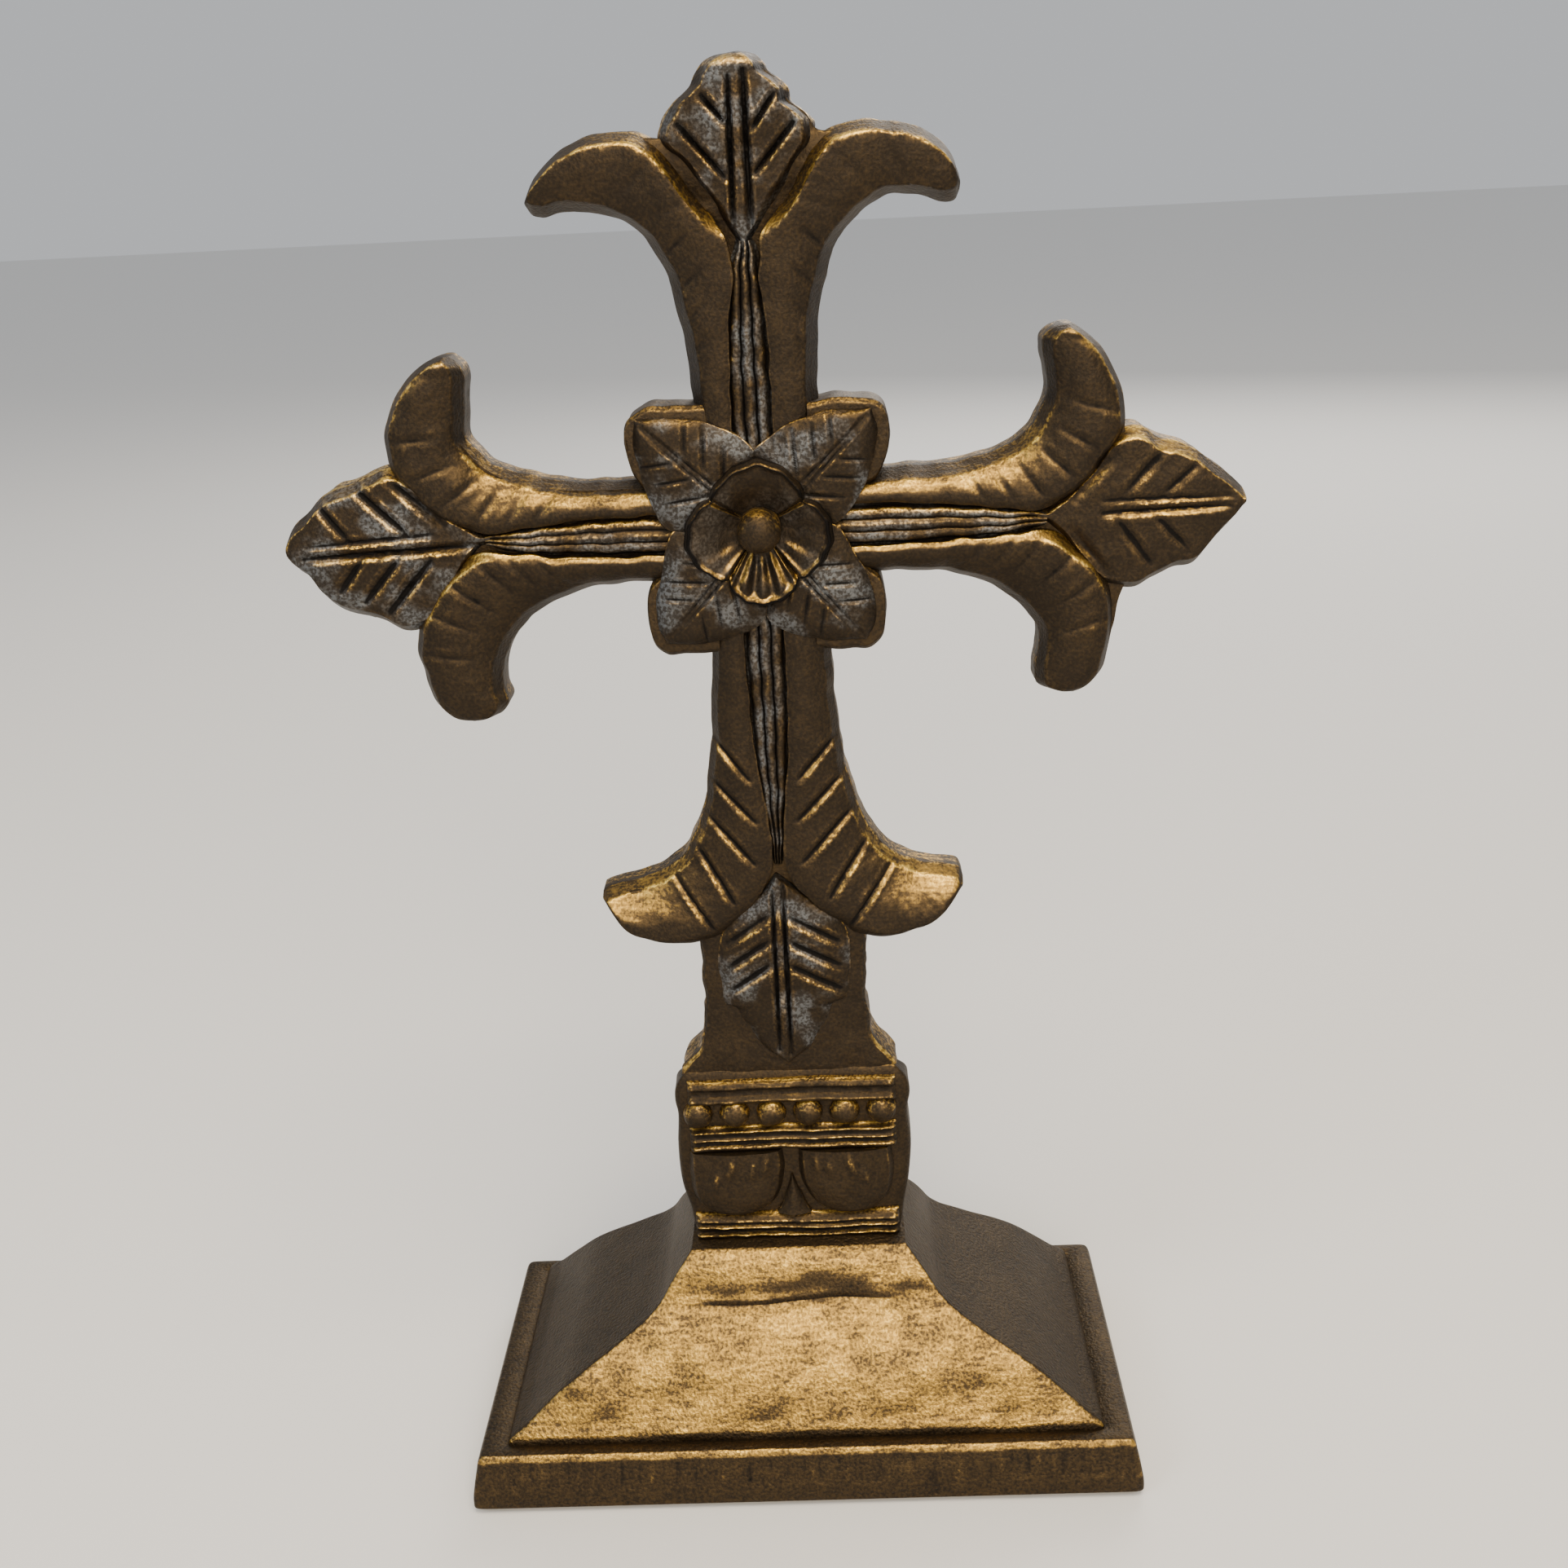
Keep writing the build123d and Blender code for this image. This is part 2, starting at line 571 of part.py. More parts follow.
with BuildPart() as collar_beads:
    with Locations((0, -COLLAR_FRONT, BEAD_Z)), GridLocations(BEAD_PITCH, 0, BEADS, 1):
        Sphere(BEAD)
    split(bisect_by=front_plane(COLLAR_FRONT), keep=Keep.TOP)
save(collar_beads, "collar_beads")

PETAL = [
    [(23.6, PETAL_Z[1])],
    [(1, PETAL_Z[1]), (1.8, 70), (5, 64), (12, PETAL_Z[0]), (20, 62), (23.6, 66)],
]
BUD = [[(0, 69.5), (1.8, 65.4)], [(4.6, PETAL_Z[0] - 0.8), (0, PETAL_Z[0] - 0.8)]]
for side, hand in ((-1, "left"), (1, "right")):
    petal_runs = [[(side * x, z) for x, z in run] for run in PETAL]
    petal = carving(petal_runs, COLLAR_FRONT, PETAL_RELIEF, edge=PETAL_EDGE)
    save(petal, f"collar_petal_{hand}")
save(carving(BUD, COLLAR_FRONT, BUD_RELIEF, Plane.YZ, edge=BUD_EDGE), "collar_bud")
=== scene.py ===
"""Altar cross: the carved and gilded looks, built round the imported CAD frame.

Shapes are worked out in millimetres on the cross's own front plane and turned into metres
where a mesh is made.  Every carved piece is a smooth run of cross-sections, cut by gouge lines.
"""

import logging
import math
from dataclasses import dataclass, field, replace
from enum import Enum

import bmesh
import bpy
import numpy as np
from mathutils import Matrix, Vector


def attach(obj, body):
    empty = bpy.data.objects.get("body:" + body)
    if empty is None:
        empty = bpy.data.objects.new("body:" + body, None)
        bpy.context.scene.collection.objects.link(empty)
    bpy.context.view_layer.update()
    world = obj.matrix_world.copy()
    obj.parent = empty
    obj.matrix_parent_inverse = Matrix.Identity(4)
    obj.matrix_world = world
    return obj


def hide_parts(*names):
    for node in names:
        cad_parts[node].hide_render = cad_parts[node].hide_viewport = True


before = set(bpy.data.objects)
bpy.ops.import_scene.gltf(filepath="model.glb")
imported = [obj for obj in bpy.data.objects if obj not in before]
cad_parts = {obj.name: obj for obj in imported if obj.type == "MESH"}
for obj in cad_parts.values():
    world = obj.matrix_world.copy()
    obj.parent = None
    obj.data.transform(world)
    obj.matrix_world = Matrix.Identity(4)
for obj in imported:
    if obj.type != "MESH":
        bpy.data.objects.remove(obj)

Section = tuple[float, ...]
Sections = tuple[Section, ...]
Outline = tuple[tuple[float, float], ...]
Triple = tuple[float, float, float]

LOG = logging.getLogger("altar_cross")
MM = 0.001
CROSS_Z = 226.0
BOARD_FRONT = 6.0
BOARD_BACK = 5.0
COLLAR_FRONT = 10.0
APPLIED_BACK = -4.0  # the back of what lies on a board, this far behind the middle
WELD = 2e-6  # metres
SHARP_ANGLE = 48.0  # degrees between two faces that makes their edge crisp
SMOOTHINGS = 5
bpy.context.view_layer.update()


# ---------------------------------------------------------------- numbers and curves


def through(rows: np.ndarray, count: int, place: int = 4) -> np.ndarray:
    """Carry a smooth curve through rows of numbers.

    A cubic runs between each pair of rows; its slope at a row is the mean of the slopes on
    both sides, weighted by distance, so widely spaced rows don't make it overshoot.

    Args:
        rows: one row for each station.
        count: how many rows to return.
        place: how many of the leading columns are places, which set the spacing.

    Returns:
        count rows, evenly spaced along the curve.
    """
    rows = np.asarray(rows, dtype=float)
    step = np.linalg.norm(np.diff(rows[:, :place], axis=0), axis=1)
    at = np.concatenate([[0.0], np.cumsum(np.maximum(step, 1e-6))])
    slope = np.gradient(rows, at, axis=0)
    where = np.linspace(0.0, at[-1], count)
    i = np.clip(np.searchsorted(at, where, side="right") - 1, 0, len(at) - 2)
    span = (at[i + 1] - at[i])[:, None]
    t = (where[:, None] - at[i][:, None]) / span
    near = (1 + 2 * t) * (1 - t) ** 2 * rows[i] + t * (1 - t) ** 2 * span * slope[i]
    far = t**2 * (3 - 2 * t) * rows[i + 1] + t**2 * (t - 1) * span * slope[i + 1]
    return near + far


def unevenness(points: np.ndarray, size: float, seed: int, waves: int = 16) -> np.ndarray:
    """Smooth hand-made unevenness between about -1 and 1.

    It is the mean of sine waves that run in seeded random directions through space.

    Args:
        points: places in millimetres, in the last axis.
        size: the length of one bump in millimetres.
        seed: what sets the directions.
        waves: how many sine waves are added.

    Returns:
        One value for each point.
    """
    draw = np.random.default_rng(seed)
    ways = draw.normal(size=(waves, 3))
    ways *= (draw.uniform(0.6, 1.5, waves) / np.linalg.norm(ways, axis=1))[:, None]
    phases = draw.uniform(0, 2 * math.pi, waves)
    angles = points @ (ways.T * 2 * math.pi / (2.2 * size)) + phases
    return np.sin(angles).sum(axis=-1) / math.sqrt(waves / 2) / 1.7


def edge_spaced(count: int) -> np.ndarray:
    """Values from 0 to 1 that crowd towards both ends, by a cosine."""
    return 0.5 - 0.5 * np.cos(np.linspace(0, math.pi, count))


def rising(values: np.ndarray, low: float, high: float) -> np.ndarray:
    """A smooth step from 0 at low to 1 at high."""
    t = np.clip((values - low) / (high - low), 0, 1)
    return t * t * (3 - 2 * t)


# ---------------------------------------------------------------- meshes


def hollowness(rings: np.ndarray) -> np.ndarray:
    """How hollow a surface is at each point of its rings, in millimetres.

    The points are averaged with their neighbours several times; the height of that average
    above the surface, along its normal, is positive in a groove and negative on a ridge.

    Args:
        rings: rings by points by three coordinates.

    Returns:
        One signed height for each point.
    """

    def neighbours(values: np.ndarray) -> tuple[np.ndarray, ...]:
        """The values one step away each way, held at the first and last ring."""
        up = np.concatenate([values[1:], values[-1:]])
        down = np.concatenate([values[:1], values[:-1]])
        return up, down, np.roll(values, 1, 1), np.roll(values, -1, 1)

    soft = rings
    for _ in range(SMOOTHINGS):
        soft = sum(neighbours(soft)) / 4
    up, down, right, left = neighbours(rings)
    normal = np.cross(up - down, right - left)
    normal /= np.linalg.norm(normal, axis=-1, keepdims=True) + 1e-9
    outward = np.sign(((rings - rings.mean(axis=1, keepdims=True)) * normal).sum())
    return ((soft - rings) * normal).sum(-1) * outward


def linked(name: str, data: bpy.types.ID) -> bpy.types.Object:
    """A new object in the scene."""
    made = bpy.data.objects.new(name, data)
    bpy.context.scene.collection.objects.link(made)
    return made


def smooth_piece(name: str, work: bmesh.types.BMesh) -> bpy.types.Object:
    """Turn edited geometry into a piece, smooth shaded but for its sharp edges."""
    mesh = bpy.data.meshes.new(name)
    work.to_mesh(mesh)
    work.free()
    mesh.shade_smooth()
    mesh.set_sharp_from_angle(angle=math.radians(SHARP_ANGLE))
    return linked(name, mesh)


def ring_solid(name: str, rings: np.ndarray, flat: bool = False) -> bpy.types.Object:
    """A closed solid from rings of points, capped at both ends.

    Args:
        name: the piece's name.
        rings: rings by points by three coordinates, in millimetres.
        flat: whether the piece is flat enough to count as nowhere hollow.

    Returns:
        The new object, with points that meet welded and its faces outward.
    """
    count, around = rings.shape[:2]
    i, j = np.meshgrid(np.arange(count - 1), np.arange(around), indexing="ij")
    k = (j + 1) % around
    quads = np.stack([i * around + j, i * around + k, (i + 1) * around + k, (i + 1) * around + j], -1)
    faces = quads.reshape(-1, 4).tolist()
    faces.append(list(range(around))[::-1])
    faces.append(list(range((count - 1) * around, count * around)))
    rough = bpy.data.meshes.new(f"{name}_rough")
    rough.from_pydata((rings.reshape(-1, 3) * MM).tolist(), [], faces)
    hollow = hollowness(rings).reshape(-1) * (not flat)
    layer = rough.attributes.new("hollow", "FLOAT", "POINT")
    layer.data.foreach_set("value", hollow.astype(np.float32))
    work = bmesh.new()
    work.from_mesh(rough)
    bpy.data.meshes.remove(rough)
    bmesh.ops.remove_doubles(work, verts=work.verts, dist=WELD)
    bmesh.ops.recalc_face_normals(work, faces=work.faces)
    return smooth_piece(name, work)


def joined(parts: list[bpy.types.Object], name: str) -> bpy.types.Object:
    """Join objects that share the same attributes into one piece."""
    work = bmesh.new()
    for part in parts:
        work.from_mesh(part.data)
        bpy.data.objects.remove(part)
    return smooth_piece(name, work)


# ---------------------------------------------------------------- shader nodes


class Value:
    """A shader socket whose arithmetic adds Math nodes."""

    def __init__(self, tree: "Nodes", socket: bpy.types.NodeSocket) -> None:
        """Hold a socket and the nodes it belongs to."""
        self.tree = tree
        self.socket = socket

    def _math(self, operation: str, *values: "Value | float") -> "Value":
        """One Math node on these values."""
        return self.tree.add("ShaderNodeMath", {"operation": operation}, dict(enumerate(values)))

    def __add__(self, other: "Value | float") -> "Value":
        """self + other."""
        return self._math("ADD", self, other)

    def __sub__(self, other: "Value | float") -> "Value":
        """self - other."""
        return self._math("SUBTRACT", self, other)

    def __rsub__(self, other: "Value | float") -> "Value":
        """other - self."""
        return self._math("SUBTRACT", other, self)

    def __mul__(self, other: "Value | float") -> "Value":
        """self * other."""
        return self._math("MULTIPLY", self, other)

    __radd__ = __add__
    __rmul__ = __mul__

    def least(self, other: "Value | float") -> "Value":
        """The smaller of two values."""
        return self._math("MINIMUM", self, other)

    def most(self, other: "Value | float") -> "Value":
        """The larger of two values."""
        return self._math("MAXIMUM", self, other)

    def held(self) -> "Value":
        """The value held between 0 and 1."""
        return self.most(0.0).least(1.0)

    def stepped(self, low: float, high: float) -> "Value":
        """A smooth step from 0 at low to 1 at high."""
        settings = {"interpolation_type": "SMOOTHSTEP"}
        return self.tree.add("ShaderNodeMapRange", settings, {0: self, 1: low, 2: high})


class Nodes:
    """One material's node tree."""

    def __init__(self, material: bpy.types.Material) -> None:
        """Start with an empty tree and its output."""
        material.use_nodes = True
        self.tree = material.node_tree
        self.tree.nodes.clear()
        self.output = self.tree.nodes.new("ShaderNodeOutputMaterial")

    def add(
        self,
        kind: str,
        settings: dict | None = None,
        inputs: dict | None = None,
        out: int | str = 0,
    ) -> Value:
        """Add any node.

        Args:
            kind: the node's type name.
            settings: its own properties, set first.
            inputs: values or links for its sockets, by index or name.
            out: which output to return.

        Returns:
            That output as a Value.
        """
        node = self.tree.nodes.new(kind)
        for key, value in (settings or {}).items():
            setattr(node, key, value)
        for key, value in (inputs or {}).items():
            if isinstance(value, Value):
                self.tree.links.new(value.socket, node.inputs[key])
            else:
                node.inputs[key].default_value = value
        return Value(self, node.outputs[out])

    def ramp(self, value: Value, stops: list[tuple[float, Triple]]) -> Value:
        """A colour ramp with these stops."""
        shade = self.add("ShaderNodeValToRGB", None, {0: value})
        elements = shade.socket.node.color_ramp.elements
        while len(elements) < len(stops):
            elements.new(0.5)
        for element, (place, colour) in zip(elements, stops):
            element.position = place
            element.color = (*colour, 1)
        return shade

    def mix(self, factor: Value | float, first: Value | tuple, second: Value | tuple) -> Value:
        """A colour between two colours."""
        inputs = {0: factor, 6: first, 7: second}
        return self.add("ShaderNodeMix", {"data_type": "RGBA"}, inputs, 2)

    def noise(self, place: Value, stretch: tuple, size: float, detail: float = 3.0) -> Value:
        """Noise whose bumps are about size millimetres, drawn out along stretch."""
        scale = tuple(1.0 / (size * MM * s) for s in stretch)
        spread = self.add("ShaderNodeMapping", None, {"Vector": place, "Scale": scale})
        return self.add("ShaderNodeTexNoise", None, {"Vector": spread, "Scale": 1.0, "Detail": detail})


class Coat(Enum):
    """How a part of the cross has been gilded and rubbed, and how much painted highlight, painted
    reflection and painted shade its finish has.
    """

    BAND = "band"
    LEAF = "leaf"
    FLOWER = "flower"
    COLLAR = "collar"
    BASE = "base"
    BACK = "back"


@dataclass(frozen=True)
class Gilding:
    """Antique gold over dark bole, with painted highlights and painted shade in its colour.

    gold scales the painted highlight on up-facing front slopes and ridges, and silver is how much
    painted reflection of the cool window light lies on it as grey flecks.  lift and speck raise and
    mottle the tone.  streak is how far brush marks run along each axis.  A surface takes the painted
    highlight from up_from to up_to of the up part of its normal; worn lightens ridges, partly as rubbed
    gilding and partly as painted highlight where they face up.  Grooves get painted shade.
    """

    name: str
    gold: float = 1.0
    window_glint: float = 0.0
    lift: float = 0.0
    streak: Triple = (5.0, 1.0, 0.7)
    roughness: float = 0.42
    bump: float = 0.40
    up_from: float = 0.12
    up_to: float = 0.60
    speck: float = 0.28
    ridge_rub_and_sheen: float = 1.0

    def material(self) -> bpy.types.Material:
        """Build the finish.

        Returns:
            A new material.
        """
        made = bpy.data.materials.new(self.name)
        n = Nodes(made)
        place = n.add("ShaderNodeTexCoord", out="Object")
        normal = n.add("ShaderNodeTexCoord", out="Normal")
        facing = n.add("ShaderNodeSeparateXYZ", None, {0: normal}, 2)
        front = n.add("ShaderNodeSeparateXYZ", None, {0: normal}, 1) * -1
        hollow = n.add("ShaderNodeAttribute", {"attribute_name": "hollow"}, None, "Fac")
        patches = n.noise(place, (1, 1, 1), 9.0, 4.0)
        streaks = n.noise(place, self.streak, 1.5, 4.0)
        grain = n.noise(place, (1, 1, 1), 0.7, 3.0)
        flecks = grain.stepped(0.40, 0.62)
        # Painted highlight: faces that turn up and to the front are coloured gold, standing in for the
        # overhead light's reflection.
        painted_top_light = facing.stepped(self.up_from, self.up_to) * (0.12 + 0.88 * front.stepped(0.15, 0.6))
        # Ridges get lighter where they face up: partly rubbed gilding, partly a painted highlight.
        up_facing_highlight = 0.12 + 0.88 * facing.stepped(-0.15, 0.35)
        ridge = (hollow * -1).stepped(0.03, 0.16) * up_facing_highlight * self.ridge_rub_and_sheen
        # Painted shade: grooves are darkened in the colour itself, as the shade that falls in them.
        groove = hollow.stepped(0.03, 0.2)
        brush = (streaks * 0.75 + patches * 0.5).stepped(0.42, 0.82)
        # The painted highlight on up-facing faces plus the rubbed ridges that also catch a painted
        # highlight.
        rub_and_highlight = painted_top_light * (0.24 + brush * 0.34 + flecks * 0.14)
        rub_and_highlight = rub_and_highlight + ridge * (0.02 + brush * 0.2 + flecks * 0.22)
        tone = rub_and_highlight * self.gold + 0.22 + self.lift
        tone = tone + (patches - 0.5) * 0.12 + (grain - 0.5) * self.speck
        # The painted shade in the grooves lowers the tone here.
        tone = (tone - groove * 0.24).held()
        gold = n.ramp(tone, GOLD_STOPS)
        # Painted reflection: cool grey flecks where the metal would mirror the cool window light.
        painted_glint = patches.stepped(0.44, 0.62) * (0.2 + flecks * 0.8) * (1 - groove) * self.window_glint
        colour = n.mix(painted_glint.held(), gold, PAINTED_WINDOW_GLINT)
        rough = self.roughness + 0.22 - tone * 0.26 + (grain - 0.5) * 0.16
        metal = (0.80 + tone * 0.5).held()
        marks = streaks * 0.4 + grain * 1.0 + patches * 0.8
        bumps = {"Strength": self.bump, "Distance": 0.5 * MM, "Height": marks}
        bumped = n.add("ShaderNodeBump", None, bumps)
        inputs = {"Base Color": colour, "Roughness": rough.held(), "Metallic": metal, "Normal": bumped}
        shader = n.add("ShaderNodeBsdfPrincipled", None, inputs)
        n.tree.links.new(shader.socket, n.output.inputs["Surface"])
        return made


# The colour of the painted cool window reflection.
PAINTED_WINDOW_GLINT = (0.20, 0.225, 0.25, 1)
# From tone to colour: the near-black end carries the painted shade in grooves and the dark painted
# reflection on faces that look ahead or aside; the gold end is the painted highlight.
GOLD_STOPS = [
    (0.0, (0.003, 0.002, 0.0014)),
    (0.2, (0.025, 0.0185, 0.0125)),
    (0.45, (0.088, 0.059, 0.029)),
    (0.75, (0.42, 0.255, 0.058)),
    (1.0, (0.82, 0.54, 0.125)),
]


@dataclass(frozen=True)
class Plain:
    """A plain mottled finish for what lies inside, behind or under the cross."""

    name: str
    dark: Triple
    light: Triple
    size: float
    stretch: Triple
    roughness: float
    metallic: float = 0.0

    def material(self) -> bpy.types.Material:
        """Build the finish: noise drawn out along its grain mixes two colours and lifts a bump."""
        made = bpy.data.materials.new(self.name)
        n = Nodes(made)
        place = n.add("ShaderNodeTexCoord", out="Object")
        grain = n.noise(place, self.stretch, self.size, 5.0)
        mask = grain.stepped(0.35, 0.65)
        bumped = n.add("ShaderNodeBump", None, {"Strength": 0.3, "Distance": 0.3 * MM, "Height": grain})
        inputs = {
            "Base Color": n.mix(mask, (*self.dark, 1), (*self.light, 1)),
            "Roughness": (self.roughness + (grain - 0.5) * 0.2).held(),
            "Normal": bumped,
            "Metallic": self.metallic,
        }
        shader = n.add("ShaderNodeBsdfPrincipled", None, inputs)
        n.tree.links.new(shader.socket, n.output.inputs["Surface"])
        return made


# Each part's gilding, with how strong its painted highlight and painted window reflection are.
FINISHES: dict[Coat, Gilding] = {
    Coat.BAND: Gilding("gilt_band"),
    Coat.LEAF: Gilding(
        "gilt_leaf", window_glint=0.48, gold=0.7, streak=(2.0, 1.0, 1.0), up_from=0.3, up_to=0.8, ridge_rub_and_sheen=2.8
    ),
    Coat.FLOWER: Gilding("gilt_flower", window_glint=0.1, streak=(1.0, 1.0, 2.0), up_from=0.25, ridge_rub_and_sheen=5.0),
    Coat.COLLAR: Gilding("gilt_collar", lift=0.02, up_from=0.68, up_to=1.0, ridge_rub_and_sheen=1.6),
    Coat.BASE: Gilding(
        "gilt_base", gold=0.74, lift=0.06, streak=(3.0, 1.0, 0.8), roughness=0.36, bump=0.6,
        up_from=0.16, up_to=0.37, speck=0.5,
    ),
    Coat.BACK: Gilding("gilt_back", gold=0.4, lift=0.04),
}


class Workshop:
    """Gives each finished piece its finish, its body and the CAD node it stands for."""

    def __init__(self) -> None:
        """Mix every finish once."""
        self.finishes = {coat: gilding.material() for coat, gilding in FINISHES.items()}

    def place(self, piece: bpy.types.Object, coat: Coat, *nodes: str) -> bpy.types.Object:
        """Dress a piece and say what it replaces.

        Args:
            piece: the new mesh.
            coat: its finish.
            nodes: the CAD nodes that it stands for.

        Returns:
            The piece.
        """
        piece.data.materials.clear()
        piece.data.materials.append(self.finishes[coat])
        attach(piece, "root")
        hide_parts(*nodes)
        LOG.info("%s: %d faces", piece.name, len(piece.data.polygons))
        return piece

    def carve(self, member: "Member", coat: Coat) -> bpy.types.Object:
        """Build a member and place it for the CAD node of the same name."""
        return self.place(member.build(), coat, member.name)


# ---------------------------------------------------------------- carved members


@dataclass(frozen=True)
class Gouge:
    """A cut from one place to another: a rounded groove with a low lip on both sides.

    A negative depth raises a ridge instead.
    """

    start: tuple[float, float]
    end: tuple[float, float]
    width: float = 0.8
    depth: float = 1.0

    def cut(self, place: np.ndarray) -> np.ndarray:
        """How deep the cut is.

        The groove is a bell curve of the distance from the line; the lip is a second bell on
        both sides of it.  Both fade out at the ends by the half sine of the way along.

        Args:
            place: x and z in the last axis.

        Returns:
            One depth for each place; the lip is negative.
        """
        start, end = np.array(self.start), np.array(self.end)
        run = end - start
        t = np.clip(((place - start) @ run) / (run @ run), 0, 1)
        off = np.linalg.norm(place - (start + t[..., None] * run), axis=-1) / self.width
        fade = np.sin(math.pi * (0.06 + 0.88 * t)) ** 0.5
        return self.depth * fade * (np.exp(-(off**2)) - 0.12 * np.exp(-((off - 2.0) ** 2) * 2))


def gouges(*rows: Section) -> tuple[Gouge, ...]:
    """Cuts from rows of start x and z, end x and z, width and depth."""
    return tuple(Gouge(row[:2], row[2:4], *row[4:]) for row in rows)


@dataclass(frozen=True)
class Member:
    """A carved member as thick as the cross, from one section to the next.

    A section is (outer x, outer z, inner x, inner z, height at the outer edge, at the crest and
    at the inner edge, place of the crest from outer 0 to inner 1).  Heights are in front of the
    boards' front face.  Across a section the height is edge + (crest - edge) (1 - s^crown), where
    s is the way from the crest to that edge.  A chamfer then drops both edges in a straight
    slope; on the inner edge it may start part way along.  Ribs are rounded by a power of the
    sine between two low margins.
    """

    name: str
    sections: Sections
    gouges: tuple[Gouge, ...] = ()
    crown: float = 2.0
    chamfer: float = 0.0
    chamfer_drop: float = 3.0
    inner_chamfer_from: float = 0.0
    ribs: int = 0
    rib_height: float = 0.9
    rib_margin: float = 0.13
    back: float = BOARD_BACK - 0.8
    back_ease: float = 0.6
    rough_cut: float = 0.12
    seed: int = 1
    shift: float = 0.0
    spacing: float = 0.42

    def fan(
        self, starts: Section, lean: float, across: tuple[float, float], width: float, depth: float
    ) -> tuple[Gouge, ...]:
        """Gouge cuts across the member.

        Args:
            starts: how far along each cut starts, from 0 to 1.
            lean: how much further along each cut ends.
            across: where each starts and ends between the outer edge 0 and the inner edge 1.
            width: each cut's width.
            depth: each cut's depth.

        Returns:
            The cuts.
        """
        rows = through(np.array(self.sections), 400)
        cuts = []
        for start in starts:
            ends = []
            for along, v in ((start, across[0]), (start + lean, across[1])):
                row = rows[int(np.clip(along, 0, 1) * 399)]
                ends.append(tuple(row[0:2] * (1 - v) + row[2:4] * v))
            cuts.append(Gouge(ends[0], ends[1], width, depth))
        return tuple(cuts)

    def front(self) -> np.ndarray:
        """The carved front, as sections by places across by x, y and z."""
        rows = through(np.array(self.sections), 500)
        length = np.linalg.norm(np.diff((rows[:, 0:2] + rows[:, 2:4]) / 2, axis=0), axis=1).sum()
        width = np.linalg.norm(rows[:, 0:2] - rows[:, 2:4], axis=1).max()
        rows = through(np.array(self.sections), int(max(30, length / self.spacing)))
        count = int(max(24, width / self.spacing))
        v = 0.5 * np.linspace(0, 1, count) + 0.5 * edge_spaced(count)
        outer, inner = rows[:, 0:2], rows[:, 2:4]
        across = inner - outer
        across /= np.linalg.norm(across, axis=1, keepdims=True) + 1e-9
        for edge in (outer, inner):
            spot = np.stack([edge[:, 0], edge[:, 0] * 0, edge[:, 1]], -1)
            edge += across * (unevenness(spot, 3.2, self.seed) * 0.22)[:, None]
        place = outer[:, None] * (1 - v[:, None]) + inner[:, None] * v[:, None]
        low, crest, high, middle = (rows[:, k][:, None] for k in range(4, 8))
        s = np.where(v < middle, (middle - v) / middle, (v - middle) / (1 - middle))
        edge = np.where(v < middle, low, high)
        height = edge + (crest - edge) * (1 - s**self.crown)
        if self.ribs:
            u = np.clip((v - self.rib_margin) / (1 - 2 * self.rib_margin), 0, 1)
            rib = np.abs(np.sin(math.pi * self.ribs * u)) ** 0.55
            height = height - self.rib_height * (1 - rib) * (1 + 0.9 * (np.abs(2 * u - 1) ** 12))
        if self.chamfer:
            span = np.linalg.norm(inner - outer, axis=1)[:, None]
            reach = np.minimum(self.chamfer, span * 0.42)
            drop = self.chamfer_drop * reach / self.chamfer
            along = np.linspace(0, 1, len(rows))[:, None]
            start = rising(along, self.inner_chamfer_from - 0.08, self.inner_chamfer_from + 0.02)
            height = height - drop * np.clip(1 - v * span / reach, 0, 1)
            height = height - drop * start * np.clip(1 - (1 - v) * span / reach, 0, 1)
        for gouge in self.gouges:
            height = height - gouge.cut(place)
        spot = np.stack([place[..., 0], height, place[..., 1]], -1)
        height = height + self.rough_cut * unevenness(spot, 4.0, self.seed + 1)
        height = height + 0.35 * self.rough_cut * unevenness(spot, 1.3, self.seed + 2)
        return np.stack([place[..., 0], -(BOARD_FRONT + self.shift + height), place[..., 1]], -1)

    def build(self) -> bpy.types.Object:
        """The member as a closed solid: its front, both walls, eased back edges and a flat back."""
        front = self.front()
        middle = (front[:, 0] + front[:, -1]) / 2

        def wall(edge: np.ndarray) -> list[np.ndarray]:
            """The points from the front edge to the eased back edge."""
            steps = []
            for part in (0.12, 0.4, 0.7, 1.0):
                step = edge.copy()
                step[:, 1] += (self.back - self.back_ease - edge[:, 1]) * part
                wobble = 0.16 * unevenness(step, 2.6, self.seed + 3)
                step[:, (0, 2)] += (edge - middle)[:, (0, 2)] * (wobble / 8)[:, None]
                steps.append(step)
            last = steps[-1].copy()
            pull = middle - last
            span = np.linalg.norm(pull[:, (0, 2)], axis=1, keepdims=True) + 1e-6
            last[:, (0, 2)] += pull[:, (0, 2)] * np.minimum(self.back_ease / span, 0.8)
            last[:, 1] = self.back
            return [*steps, last]

        far = wall(front[:, -1])
        near = wall(front[:, 0])[::-1]
        ring = np.concatenate([front, np.stack(far, 1), np.stack(near, 1)], axis=1)
        return ring_solid(self.name, ring)


